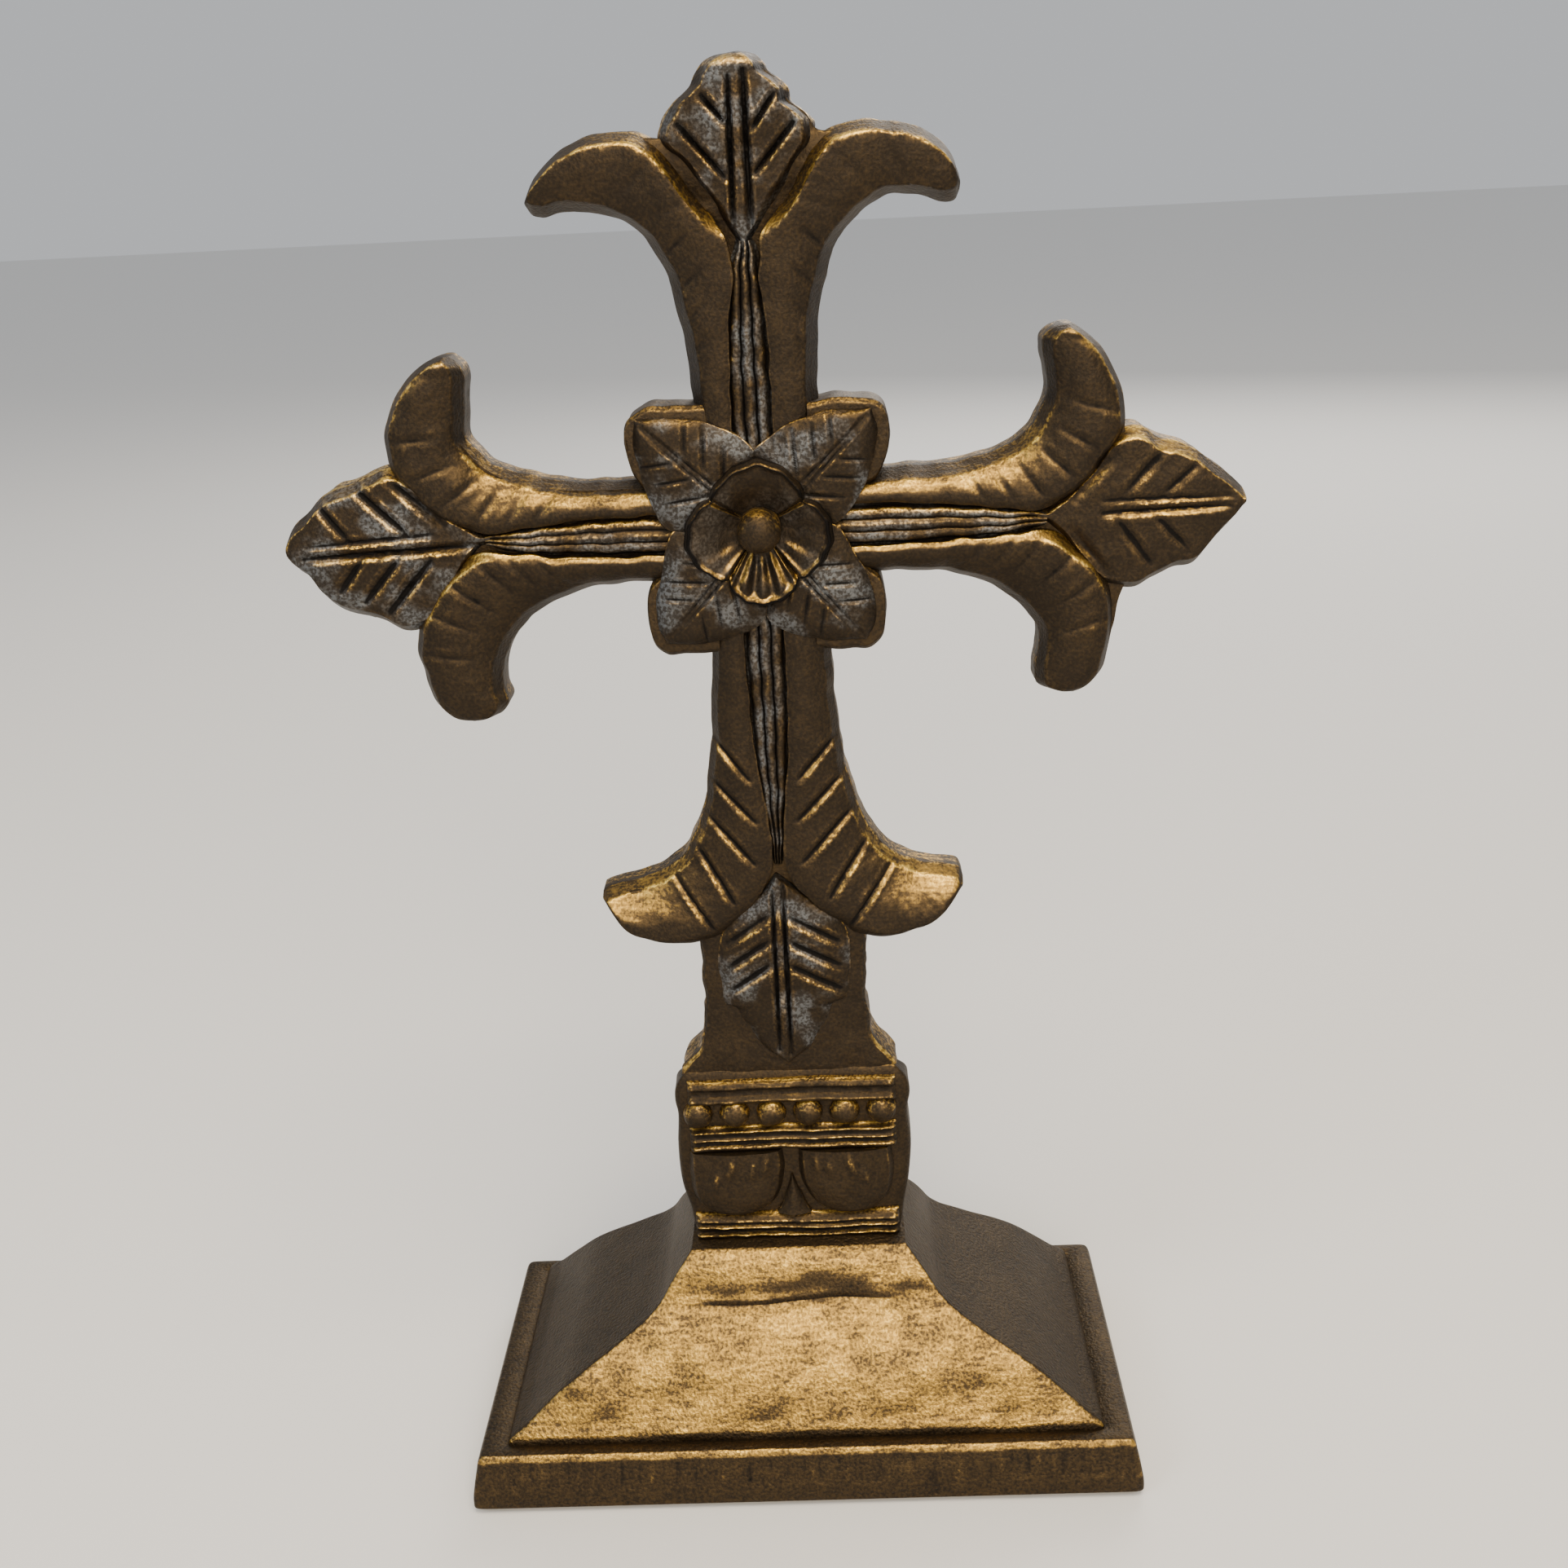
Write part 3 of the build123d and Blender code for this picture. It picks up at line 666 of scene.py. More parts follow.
def veins(
    base: tuple[float, float], tip: tuple[float, float], rib: float, starts: Section,
    length: float, angle: float, width: float, depth: float,
) -> tuple[Gouge, ...]:
    """The cuts of a leaf: a groove on each side of its midrib, and side veins towards the tip.

    Args:
        base: where the midrib starts.
        tip: where it ends.
        rib: half the width of the midrib.
        starts: where the side veins leave it, from 0 at the base to 1 at the tip.
        length: the longest side vein; they shorten towards the tip.
        angle: between a side vein and the midrib, in degrees.
        width: each groove's width.
        depth: each groove's depth.

    Returns:
        The cuts.
    """
    start, end = np.array(base), np.array(tip)
    way = (end - start) / np.linalg.norm(end - start)
    cuts = []
    for side in (-1, 1):
        aside = side * np.array([-way[1], way[0]])
        cuts.append(Gouge(tuple(start + aside * rib), tuple(end + aside * rib * 0.5), width, depth * 1.3))
        turn = math.radians(angle)
        lean = way * math.cos(turn) + aside * math.sin(turn)
        for k, along in enumerate(starts):
            root = start + (end - start) * (along + 0.03 * side) + aside * (rib + 0.9)
            reach = length * (1 - 0.45 * along) * (1 + 0.08 * side * (-1) ** k)
            cuts.append(Gouge(tuple(root), tuple(root + lean * reach), width, depth))
    return tuple(cuts)


def section_rows(edges: Sections, heights: Sections) -> Sections:
    """Join each section's edge places to heights blended between the given ones.

    Args:
        edges: outer x, outer z, inner x and inner z of each section.
        heights: way along from 0 to 1, outer height, crest height, inner height, crest place.

    Returns:
        The sections.
    """
    table = np.array(heights)
    along = np.linspace(0, 1, len(edges))
    columns = [np.interp(along, table[:, 0], table[:, k]) for k in range(1, 5)]
    return tuple((*edge, *(float(c[i]) for c in columns)) for i, edge in enumerate(edges))


def even(*rows: Triple) -> Sections:
    """Heights that are the same at both edges, with the crest midway.

    Args:
        rows: way along, edge height and crest height.

    Returns:
        Rows for section_rows.
    """
    return tuple((along, edge, crest, edge, 0.5) for along, edge, crest in rows)


def reeded(name: str, edges: Sections, crest: float, seed: int) -> Member:
    """Three reeds side by side, whose crest is at this height seven tenths of the way along."""
    rows = section_rows(edges, even((0, 2.4, 3.5), (0.7, 2.4, crest), (1, 1.6, 2.4)))
    return Member(name, rows, ribs=3, back=APPLIED_BACK, seed=seed, spacing=0.25)


# ---------------------------------------------------------------- the three leafed arms


@dataclass
class UpperArm:
    """The top arm: two bands that curl outward, three reeds and the tip leaf."""

    left: Sections = (
        (-12.9, 236, -5.3, 236), (-13.4, 256, -5.2, 256), (-14.9, 268, -4.7, 268),
        (-17.4, 278, -3.6, 278), (-21, 285, -4.8, 285.5), (-24.6, 288.4, -8.2, 290.4),
        (-28, 289.8, -12.2, 297), (-31.4, 290.5, -18, 303.9), (-34.8, 290.9, -25.8, 305.9),
        (-38.6, 290.9, -34, 304.4), (-42, 290.2, -40, 300.6), (-44, 290.6, -43.4, 296.8),
        (-44.5, 292, -44.5, 294.2),
    )
    right: Sections = (
        (12.8, 236, 3.2, 236), (12.9, 256, 3.2, 256), (13.7, 268, 2.9, 268),
        (16, 278, 2.1, 278), (19.6, 285, 3.2, 285.5), (23.6, 288.8, 6.8, 290.5),
        (27.4, 290.8, 10.4, 297), (30.6, 291.4, 15.8, 303.9), (33.8, 291.2, 23, 305.8),
        (37.2, 290.2, 31.5, 305), (40.4, 289.4, 37.8, 302.4), (42.4, 290.2, 41.7, 298.2),
        (43, 292, 42.9, 295),
    )
    heights: Sections = (
        (0, 1.4, 3.4, 3.0, 0.70), (0.25, 1.2, 3.8, 3.4, 0.78), (0.42, 1.0, 4.2, 3.8, 0.86),
        (0.55, 1.4, 4.3, 3.2, 0.80), (0.68, 1.8, 4.0, 2.4, 0.7), (0.84, 1.4, 3.4, 1.8, 0.64),
        (0.93, 0.6, 2.2, 0.8, 0.6), (1, -0.6, 0.4, -0.6, 0.5),
    )
    leaf: Sections = (
        (-1.6, 281, -0.2, 281), (-4.6, 286, 3.2, 286.5), (-9, 293, 8.5, 293.5),
        (-13.8, 300, 12.5, 300), (-16.8, 303.4, 14.6, 303.6), (-16.6, 306, 14.2, 306.2),
        (-14.9, 308.8, 12, 308.4), (-13.2, 311, 9.7, 310.2), (-11.7, 312.2, 9.4, 312.4),
        (-10.2, 313.6, 7.6, 314.2), (-9.3, 315.6, 5.6, 315.8), (-7.6, 317.6, 4.8, 317.4),
        (-5, 319.1, 3.2, 318.9), (-2, 319.6, 1, 319.6),
    )
    leaf_cuts: tuple[Gouge, ...] = gouges(
        (-2.7, 287, -2.3, 315, 0.48, 1.2), (0.8, 286, 0.7, 316, 0.6, 1.35),
        (-7.6, 311.6, -3.4, 306.5, 0.56, 1.2), (-12.6, 306.5, -3.6, 296, 0.56, 1.2),
        (-13.6, 300.5, -4.2, 289, 0.56, 1.0), (6.6, 311.4, 1.9, 305, 0.56, 1.2),
        (10, 305.8, 2, 296.6, 0.56, 1.2), (11.8, 300.5, 2.8, 289, 0.56, 1.0),
    )
    reeds: Sections = (
        (-6.2, 240, 4.0, 240), (-6.1, 262, 3.9, 262), (-5.4, 270, 3.3, 270),
        (-4.2, 279, 2.4, 279), (-2.6, 284, 1.4, 284),
    )

    blade: Sections = even(
        (0, 1.8, 2.2), (0.3, 2.6, 3.2), (0.5, 2.8, 3.7), (0.86, 2.4, 3.4), (0.93, 0.6, 1.4), (1, -1.6, -1.4)
    )

    def build(self, shop: Workshop) -> None:
        """Carve and dress the arm's pieces."""
        for side, edges, seed in (("left", self.left, 11), ("right", self.right, 23)):
            curl = Member(
                f"top_curl_{side}", section_rows(edges, self.heights), chamfer=2.6, chamfer_drop=5.0,
                inner_chamfer_from=0.60, seed=seed,
            )
            cuts = curl.fan((0.27, 0.34, 0.41, 0.49), 0.05, (0.04, 0.5), 0.8, 0.32)
            cuts += curl.fan((0.60, 0.70, 0.80), 0.02, (0.3, 0.85), 0.9, 0.2)
            shop.carve(replace(curl, gouges=cuts), Coat.BAND)
        rows = section_rows(self.leaf, self.blade)
        leaf = Member("top_leaf", rows, self.leaf_cuts, chamfer=2.4, chamfer_drop=4.5, seed=31)
        shop.carve(leaf, Coat.LEAF)
        shop.carve(reeded("top_reeds", self.reeds, 3.4, 37), Coat.LEAF)


@dataclass
class SideArm:
    """A side arm: bands that curl up and down, three reeds and the tip leaf."""

    side: str
    upper: Sections
    lower: Sections
    leaf: Sections
    reeds: Sections
    leaf_cuts: tuple[Gouge, ...]
    leaf_coat: Coat
    seed: int
    heights: Sections = (
        (0, -1.2, 3.8, 3.0, 0.80), (0.35, -1.0, 4.1, 3.0, 0.80), (0.5, -0.2, 4.2, 2.4, 0.70),
        (0.62, 0.8, 4.2, 1.6, 0.62), (0.8, 1.2, 3.6, 1.4, 0.6), (0.92, 0.8, 2.4, 0.8, 0.55),
        (1, -0.6, 0.2, -0.6, 0.5),
    )

    blade: Sections = even(
        (0, 1.8, 2.2), (0.3, 2.2, 3.0), (0.6, 2.2, 3.3), (0.88, 1.4, 2.6), (0.94, 0.2, 1.2), (1, -1.8, -1.6)
    )

    def build(self, shop: Workshop) -> None:
        """Carve and dress the arm's pieces."""
        for level, edges, seed in (("upper", self.upper, 3), ("lower", self.lower, 5)):
            curl = Member(
                f"{self.side}_curl_{level}", section_rows(edges, self.heights), chamfer=2.0,
                chamfer_drop=3.0, inner_chamfer_from=0.56, seed=self.seed + seed,
            )
            cuts = curl.fan((0.36, 0.43, 0.50, 0.58, 0.66, 0.75), 0.03, (0.3, 0.9), 0.8, 0.34)
            shop.carve(replace(curl, gouges=cuts), Coat.BAND)
        leaf = Member(
            f"{self.side}_leaf", section_rows(self.leaf, self.blade), self.leaf_cuts, chamfer=2.2,
            chamfer_drop=4.0, seed=self.seed + 7,
        )
        shop.carve(leaf, self.leaf_coat)
        shop.carve(reeded(f"{self.side}_reeds", self.reeds, 3.4, self.seed + 9), Coat.LEAF)


LEFT_ARM = SideArm(
    side="left",
    upper=(
        (-14, 235.7, -14, 229.4), (-28, 235.9, -28, 229.3), (-38.7, 236, -40, 228.8),
        (-47, 237.5, -50, 227.8), (-53.2, 239.2, -59, 226.9), (-57.5, 241.3, -67, 229),
        (-60, 244, -73, 234), (-61.6, 247.5, -78, 240.5), (-61.6, 251.5, -78.9, 247),
        (-61.2, 256, -76.8, 253.6), (-60.8, 259.6, -72.6, 259.6), (-61.8, 262.3, -68, 262.9),
        (-63.4, 263.6, -65.2, 263.7),
    ),
    lower=(
        (-14, 213.8, -14, 220.8), (-30, 213.7, -30, 220.8), (-39, 212.9, -44, 221.4),
        (-45.6, 210.6, -53, 222.2), (-50.8, 208, -60, 223), (-54.8, 204, -67.5, 219),
        (-57.4, 200.2, -73.6, 211.5), (-58.8, 196.4, -76.8, 203.4), (-58.8, 192.2, -76, 196),
        (-58, 188.6, -74.4, 190), (-60.2, 186, -71.6, 186.4), (-64, 185, -67.4, 185),
    ),
    leaf=(
        (-58, 226.8, -58, 224.5), (-64, 230.5, -63, 220.5), (-70, 235, -68, 212.6),
        (-74, 239.5, -74, 206.6), (-79, 241.4, -79.4, 205.9), (-82.8, 239.8, -83.4, 208.2),
        (-87, 238.4, -88, 209.4), (-91.2, 237.2, -92.4, 211), (-94.6, 234.8, -95.4, 214),
        (-98, 231.8, -98.4, 218.4), (-100.8, 229.4, -101, 220.6), (-102.1, 227.4, -102.1, 222.6),
        (-102.35, 226, -102.35, 224),
    ),
    reeds=(
        (-14, 230, -14, 220.2), (-32, 229.8, -32, 220.4), (-44, 228.9, -44, 221.2),
        (-53, 227.8, -53, 222.4), (-59, 226.8, -59, 223.8),
    ),
    leaf_cuts=gouges(
        (-61, 224.4, -98, 223.2, 0.8, 1.5), (-70, 227.4, -97, 225.8, 0.6, 0.6),
        (-86, 238, -76, 228, 0.8, 1.2), (-94, 234.5, -88, 226.8, 0.7, 0.9),
        (-77.5, 238.5, -68, 229.5, 0.9, 1.3), (-71, 222, -81, 211, 0.8, 1.1),
        (-86, 222.4, -91, 216, 0.7, 0.9), (-78, 222.4, -86, 213.4, 0.7, 0.9),
    ),
    leaf_coat=Coat.LEAF,
    seed=40,
)
RIGHT_ARM = SideArm(
    side="right",
    upper=(
        (14, 235.7, 14, 230), (28, 236.2, 28, 229.8), (38.5, 236.7, 40, 229),
        (46.5, 238, 50, 227.8), (53, 240.5, 59, 227), (57, 243.5, 66, 229.5),
        (59.6, 247.5, 71.5, 235), (60.6, 251.5, 76.2, 241.5), (60.4, 255.6, 76.4, 248.2),
        (59.4, 259.6, 74.2, 255.2), (59.8, 262.4, 70.6, 260.8), (62.2, 264, 67, 263.6),
        (63.8, 264.5, 65.4, 264.5),
    ),
    lower=(
        (14, 214, 14, 220.8), (30, 213.9, 30, 221), (39.4, 213.2, 44, 221.5),
        (46.8, 211, 53, 222), (52.2, 207.8, 60, 222.5), (56.2, 203.8, 67, 218.5),
        (58.6, 199.8, 72.9, 212), (58.6, 195.2, 74.8, 203.6), (57.6, 191, 74, 196),
        (58.2, 188, 72.4, 190.8), (61.4, 186.5, 70, 188), (64, 186.2, 67.4, 186.3),
    ),
    leaf=(
        (58, 226.5, 58, 224.5), (64, 230.5, 63, 220.5), (70, 236, 68, 214),
        (74.5, 242, 73.5, 209), (79.5, 243, 79, 208.6), (83.5, 240.6, 82.8, 210.4),
        (87.5, 239.8, 87.2, 212.4), (91.2, 237.8, 91.8, 213.8), (94.6, 235.2, 94.8, 217.2),
        (98, 232.6, 98.2, 220.8), (100.6, 230.4, 100.6, 223.6), (101.8, 228.8, 101.8, 225.6),
        (102.2, 227.8, 102.2, 226.4),
    ),
    reeds=(
        (14, 230.6, 14, 220.2), (32, 230.2, 32, 220.4), (44, 229.2, 44, 221),
        (53, 228, 53, 222), (60, 226.8, 60, 223.4),
    ),
    leaf_cuts=gouges(
        (72, 225.6, 98, 226.2, 0.7, 0.9), (72, 228.4, 98, 228.2, 0.6, 0.5),
        (76, 229.5, 84, 238, 0.8, 0.6), (84, 229, 91, 235, 0.7, 0.5),
        (75, 224, 82, 214.5, 0.8, 0.6), (83, 224.6, 90, 217, 0.7, 0.5),
        (66, 229, 74, 238, 1.1, 0.9), (65, 222.5, 73, 212.5, 1.1, 0.9),
    ),
    leaf_coat=Coat.BAND,
    seed=60,
)


@dataclass
class LowerArm:
    """The lower arm: bands that curl outward and down, reeds, the stem and the hanging leaf."""

    left: Sections = (
        (-12.6, 214, -5.2, 214), (-13, 190, -4.9, 190), (-14, 178, -4.4, 178),
        (-15.2, 170, -3.4, 170), (-16.5, 163.5, -2.2, 162), (-18.5, 157.5, -1.6, 154),
        (-21.5, 151.5, -3, 145), (-24.5, 148.2, -9, 137), (-27.5, 146.3, -16.5, 131.4),
        (-30.5, 145, -23.5, 130), (-34, 144, -30, 131), (-37.2, 143.4, -35, 133.2),
        (-39.6, 142.8, -38.4, 137.2), (-41, 142, -40.8, 140.4),
    )
    right: Sections = (
        (13.2, 214, 3.6, 214), (13.8, 190, 3.5, 190), (14.9, 177, 3.2, 178),
        (16.2, 169, 2.5, 169), (17.9, 162.5, 1.6, 161), (20, 157, 1, 153.5),
        (22.9, 152, 2.6, 145.5), (25.8, 149, 9.5, 137.2), (28.6, 147.4, 16.5, 132),
        (31.4, 146.2, 22.5, 130), (34.7, 145.5, 29, 131.2), (38, 145.2, 34.5, 133.2),
        (40.6, 144.3, 38.5, 137.4), (41.5, 142.6, 41.2, 140.6),
    )
    heights: Sections = (
        (0, 0.8, 3.4, 2.8, 0.72), (0.4, 0.2, 3.8, 3.2, 0.76), (0.55, -0.8, 4.2, 2.8, 0.80),
        (0.65, -1.6, 4.3, 1.6, 0.86), (0.85, -1.8, 3.6, 0.8, 0.86), (0.94, -1.8, 2.0, -0.4, 0.8),
        (1, -2.0, -0.4, -1.2, 0.5),
    )
    leaf: Sections = (
        (-1.2, 146.2, -0.8, 146.2), (-3.8, 143, 3, 143), (-7.2, 139.8, 6.6, 140),
        (-11, 136.4, 11, 136.8), (-13.6, 133.6, 14, 134), (-15, 129.5, 15, 129.8),
        (-15.2, 124, 14.9, 124), (-14.8, 118, 14.4, 118), (-14.1, 115, 13.5, 115.4),
        (-11.6, 113.6, 10.9, 114), (-10.6, 111, 9.7, 111), (-9, 108, 8.1, 108),
        (-7, 105, 6.2, 105), (-4.2, 102, 4, 102.4), (-1.8, 100.3, 1.4, 100.6), (-0.6, 99.6, 0, 99.6),
    )
    reeds: Sections = (
        (-5.9, 212, 4.4, 212), (-5.7, 195, 4.3, 195), (-5.2, 182, 4, 182),
        (-4.1, 168, 3.1, 168), (-2.5, 157, 1.8, 157), (-1.6, 149, 1, 149),
    )
    vein_levels: Section = (137.0, 131.0, 125.0)
    stem: Sections = (
        (-25.4, 93.4, 25, 93.4), (-25.4, 97.2, 25, 97.2), (-23.8, 99.6, 23.4, 99.6),
        (-21.2, 102.6, 21, 102.6),
        (-19.9, 106.8, 19.4, 106.8), (-19.3, 112, 18.6, 112), (-19.2, 122, 18.6, 122),
        (-19.2, 137, 18.7, 137),
    )

    blade: Sections = even((0, 2.2, 3.4), (0.3, 2.4, 4.6), (1, 2.2, 3.4))
    stem_heights: Sections = even((0, 2.4, 2.9), (1, 1.8, 2.4))

    def build(self, shop: Workshop) -> None:
        """Carve and dress the arm's pieces."""
        for side, edges, seed in (("left", self.left, 71), ("right", self.right, 83)):
            curl = Member(
                f"lower_curl_{side}", section_rows(edges, self.heights), chamfer=1.7, chamfer_drop=2.2,
                inner_chamfer_from=9.0, seed=seed,
            )
            cuts = curl.fan((0.34, 0.43, 0.52, 0.61), 0.09, (0.12, 0.8), 0.7, 0.8)
            cuts += curl.fan((0.735,), 0.03, (0.1, 0.95), 0.65, 0.7)
            shop.carve(replace(curl, gouges=cuts), Coat.BAND)
        cuts = gouges((-2.1, 103, -2.0, 143, 0.45, 0.9), (0.5, 102, 0.4, 144, 0.5, 1.0))
        for level in self.vein_levels:
            cuts += gouges(
                (-3.4, level, -12.8, level - 6.4, 0.8, 0.9), (1.8, level - 0.6, 12.6, level - 6.8, 0.8, 0.9)
            )
        rows = section_rows(self.leaf, self.blade)
        shop.carve(Member("hanging_leaf", rows, cuts, crown=5, back=APPLIED_BACK, seed=91), Coat.LEAF)
        shop.carve(reeded("lower_reeds", self.reeds, 3.2, 93), Coat.LEAF)
        stem = Member(
            "stem_facing", section_rows(self.stem, self.stem_heights), crown=4, chamfer=0.8,
            chamfer_drop=0.8, inner_chamfer_from=-1.0, seed=95,
        )
        shop.carve(stem, Coat.BAND)


# ---------------------------------------------------------------- the crossing


@dataclass
class Crossing:
    """Four corner leaves, the flower and its boss."""

    blocks: dict[str, Sections] = field(default_factory=lambda: {
        "top_left": (
            (-10.5, 251.6, -10.5, 232), (-13.5, 251.8, -13.5, 232), (-20, 251.9, -20, 233),
            (-24.5, 251.2, -24.5, 235), (-27.2, 249, -26.5, 238), (-28, 246, -27.6, 242),
            (-28.2, 244.8, -28.1, 243.6)),
        "top_right": (
            (10.5, 251.6, 10.5, 232), (13.5, 251.8, 13.5, 232), (20, 252, 20, 233),
            (24.2, 251.4, 24.2, 235), (26.7, 249.3, 26, 238), (27.5, 246, 27.2, 241.5),
            (27.7, 244.5, 27.6, 243.2)),
        "bottom_left": (
            (-10.5, 222, -10.5, 198.8), (-13.5, 222, -13.5, 198.6), (-18, 221, -18, 198.9),
            (-22, 216.4, -22, 198.8), (-24.5, 214, -24.4, 201), (-25.6, 210.4, -25.4, 204.6),
            (-25.8, 208.2, -25.8, 206.6)),
        "bottom_right": (
            (10.5, 222, 10.5, 198.8), (13.5, 222, 13.5, 198.6), (18, 221, 18, 198.5),
            (22, 216.4, 22, 198.7), (24.6, 214, 24.6, 201), (25.7, 210, 25.5, 204.2),
            (25.9, 208.2, 25.9, 206.4)),
    })
    leaves: dict[str, Sections] = field(default_factory=lambda: {
        "top_left": (
            (-25.5, 249.2, -25.1, 249.6), (-26.1, 246, -21.5, 249.8), (-25.5, 241, -15, 249.2),
            (-24.2, 235.5, -8.5, 247.6), (-22, 230, -4, 245.2), (-19.5, 226.5, -1.2, 242.6),
            (-9, 226, -1, 236)),
        "top_right": (
            (24.1, 249.6, 23.7, 249.9), (24.9, 246, 19.8, 249.8), (24.2, 241, 13.5, 249.4),
            (22.4, 235.5, 7.5, 247.6), (19.2, 230, 2.6, 245.2), (16.2, 226.5, -0.6, 242.6),
            (8, 226, -1, 236)),
        "bottom_left": (
            (-22, 201.8, -21.6, 201.5), (-23.4, 205, -18.2, 201.2), (-23.4, 210, -12.5, 201.3),
            (-22.4, 215.5, -7.5, 202.6), (-21, 220.5, -3.2, 204), (-19.4, 225.4, -0.4, 206.4),
            (-9, 226, -0.5, 214)),
        "bottom_right": (
            (21.2, 200.9, 20.8, 200.7), (23.2, 204, 17.5, 200.7), (23.2, 209.5, 12, 201),
            (21.6, 215.5, 7, 202.4), (19, 220.5, 3, 204), (16.4, 225.4, 0.4, 206.4),
            (8, 226, 0, 214)),
    })
    block_heights: Sections = even((0, 2.6, 3.0), (0.7, 2.6, 3.0), (0.93, 1.6, 2), (1, 0.0, 0.2))
    blade: Sections = even(
        (0, 2.4, 3.6), (0.3, 3.4, 5.6), (0.62, 4.0, 5.8), (0.84, 4.4, 5.4), (0.92, 3.2, 4.2), (1, 1.4, 2.0)
    )
    leaf_back: float = -7.5
    middle_x: float = -0.5
    flower_tips: Section = (14.9, 16.2, 16.4, 15.7)
    flower_notches: Section = (11.9, 12.7, 13.2, 14.0)
    flower_flutes: Section = (0.06, 0.12, 0.55, 0.2)
    flower_points: Section = (1.25, 1.7, 2.2, 1.8)
    notch_angles: Section = (32.0, 146.0, 236.0, 306.0)
    flower_foot: float = 10.0
    flower_side: float = 0.9
    flower_back: float = 8.0
    boss_radius: float = 4.6
    boss_front: float = 18.3
    boss_back: float = 11.0

    def corner(self, where: str, seed: int) -> tuple[Member, Member]:
        """One corner's block and the veined leaf on its face."""
        rows = section_rows(self.blocks[where], self.block_heights)
        block = Member(f"corner_block_{where}", rows, chamfer=0.9, chamfer_drop=1.0, seed=seed)
        edges = self.leaves[where]
        tip = np.array(edges[0][:2])
        base = np.array([0.0, CROSS_Z]) * 0.65 + tip * 0.35
        rib_end = tip * 0.92 + base * 0.08
        cuts = veins(tuple(base), tuple(rib_end), 0.6, (0.0, 0.27, 0.52), 9.5, 50, 0.42, 0.4)
        leaf = Member(
            f"corner_leaf_{where}", section_rows(edges, self.blade), cuts, crown=3,
            back=self.leaf_back, seed=seed + 1, spacing=0.3,
        )
        return block, leaf

    def petal_edge(self, angle: np.ndarray) -> tuple[np.ndarray, np.ndarray, np.ndarray]:
        """The flower's outline.

        The reach is a notch radius at each petal's sides and its tip radius in the middle,
        blended by one less |s| to a power of the petal's own, with a small ripple.

        Args:
            angle: directions round the flower, in degrees.

        Returns:
            Which petal each direction meets, its place s from -1 to 1 across that petal, and
            the reach there.
        """
        starts = np.array(self.notch_angles)
        turned = (angle - starts[0]) % 360
        edges = np.append((starts - starts[0]) % 360, 360.0)
        k = np.clip(np.searchsorted(edges, turned, side="right") - 1, 0, 3)
        s = 2 * (turned - edges[k]) / (edges[k + 1] - edges[k]) - 1
        tips = np.array(self.flower_tips)[k]
        notches = np.array(self.flower_notches)
        notch = notches[k] * (1 - s) / 2 + notches[(k + 1) % 4] * (1 + s) / 2
        reach = notch + (tips - notch) * (1 - np.abs(s) ** np.array(self.flower_points)[k])
        reach += 0.16 * np.cos(5 * math.pi * s) * (1 - np.abs(s) ** 4)
        return k, s, reach

    def flower(self) -> bpy.types.Object:
        """The four-petalled flower.

        From the middle outward the front dips into a cup, rises to the rim at nine tenths of
        the reach and rolls back.  Radial flutes are a cosine of the place across the petal,
        and a valley parts each petal from the next.
        """
        angle = np.linspace(0, 360, 720, endpoint=False)
        k, s, reach = self.petal_edge(angle)
        r = np.linspace(0.02, 1, 64)[:, None]
        cup = 0.2 + 3.6 * rising(r, 0.12, 0.92) ** 1.3 - 2.4 * rising(r, 0.95, 1.0)
        cup += 0.7 * np.exp(-(((r - 0.925) / 0.035) ** 2))
        depth = np.array(self.flower_flutes)[k]
        flutes = depth * np.cos(4 * math.pi * s) * rising(r, 0.3, 0.5) * (1 - rising(r, 0.8, 0.92))
        valley = -1.7 * np.exp(-(((1 - np.abs(s)) / 0.07) ** 2)) * rising(r, 0.2, 0.6)
        height = cup + flutes + valley
        turn = np.radians(angle)
        x = self.middle_x + r * reach * np.cos(turn)
        z = CROSS_Z + r * reach * np.sin(turn)
        front = np.stack([x, -(self.flower_foot + height), z], -1)
        front[..., 1] -= 0.15 * unevenness(front, 2.5, 101)
        side = front[-1].copy()
        side[:, 1] = -(self.flower_foot + self.flower_side)
        back = side.copy()
        back[:, 1] = -self.flower_back
        back[:, (0, 2)] = back[:, (0, 2)] * 0.9 + np.array([self.middle_x, CROSS_Z]) * 0.1
        return ring_solid("rosette_flower", np.concatenate([front, side[None], back[None]]))

    def boss(self) -> bpy.types.Object:
        """The half-round boss: a dome whose radius follows the cosine of its latitude."""
        latitude = np.linspace(math.pi / 2 - 0.02, 0, 24)[:, None]
        turn = np.linspace(0, 2 * math.pi, 48, endpoint=False)
        x = self.middle_x + self.boss_radius * np.cos(latitude) * np.cos(turn)
        z = CROSS_Z + self.boss_radius * np.cos(latitude) * np.sin(turn)
        y = -(self.boss_front - self.boss_radius + self.boss_radius * np.sin(latitude)) + 0 * turn
        dome = np.stack([x, y, z], -1)
        dome += 0.08 * unevenness(dome, 2.0, 7)[..., None]
        foot = dome[-1:].copy()
        foot[..., 1] = -self.boss_back
        return ring_solid("rosette_boss", np.concatenate([dome, foot]))

    def build(self, shop: Workshop) -> None:
        """Carve and dress the crossing's pieces."""
        for k, where in enumerate(self.leaves):
            block, leaf = self.corner(where, 110 + 7 * k)
            shop.place(block.build(), Coat.BACK)
            shop.carve(leaf, Coat.LEAF)
        shop.place(self.flower(), Coat.FLOWER, "rosette_flower")
        shop.place(self.boss(), Coat.COLLAR, "rosette_boss")


# ---------------------------------------------------------------- the boards behind the carving


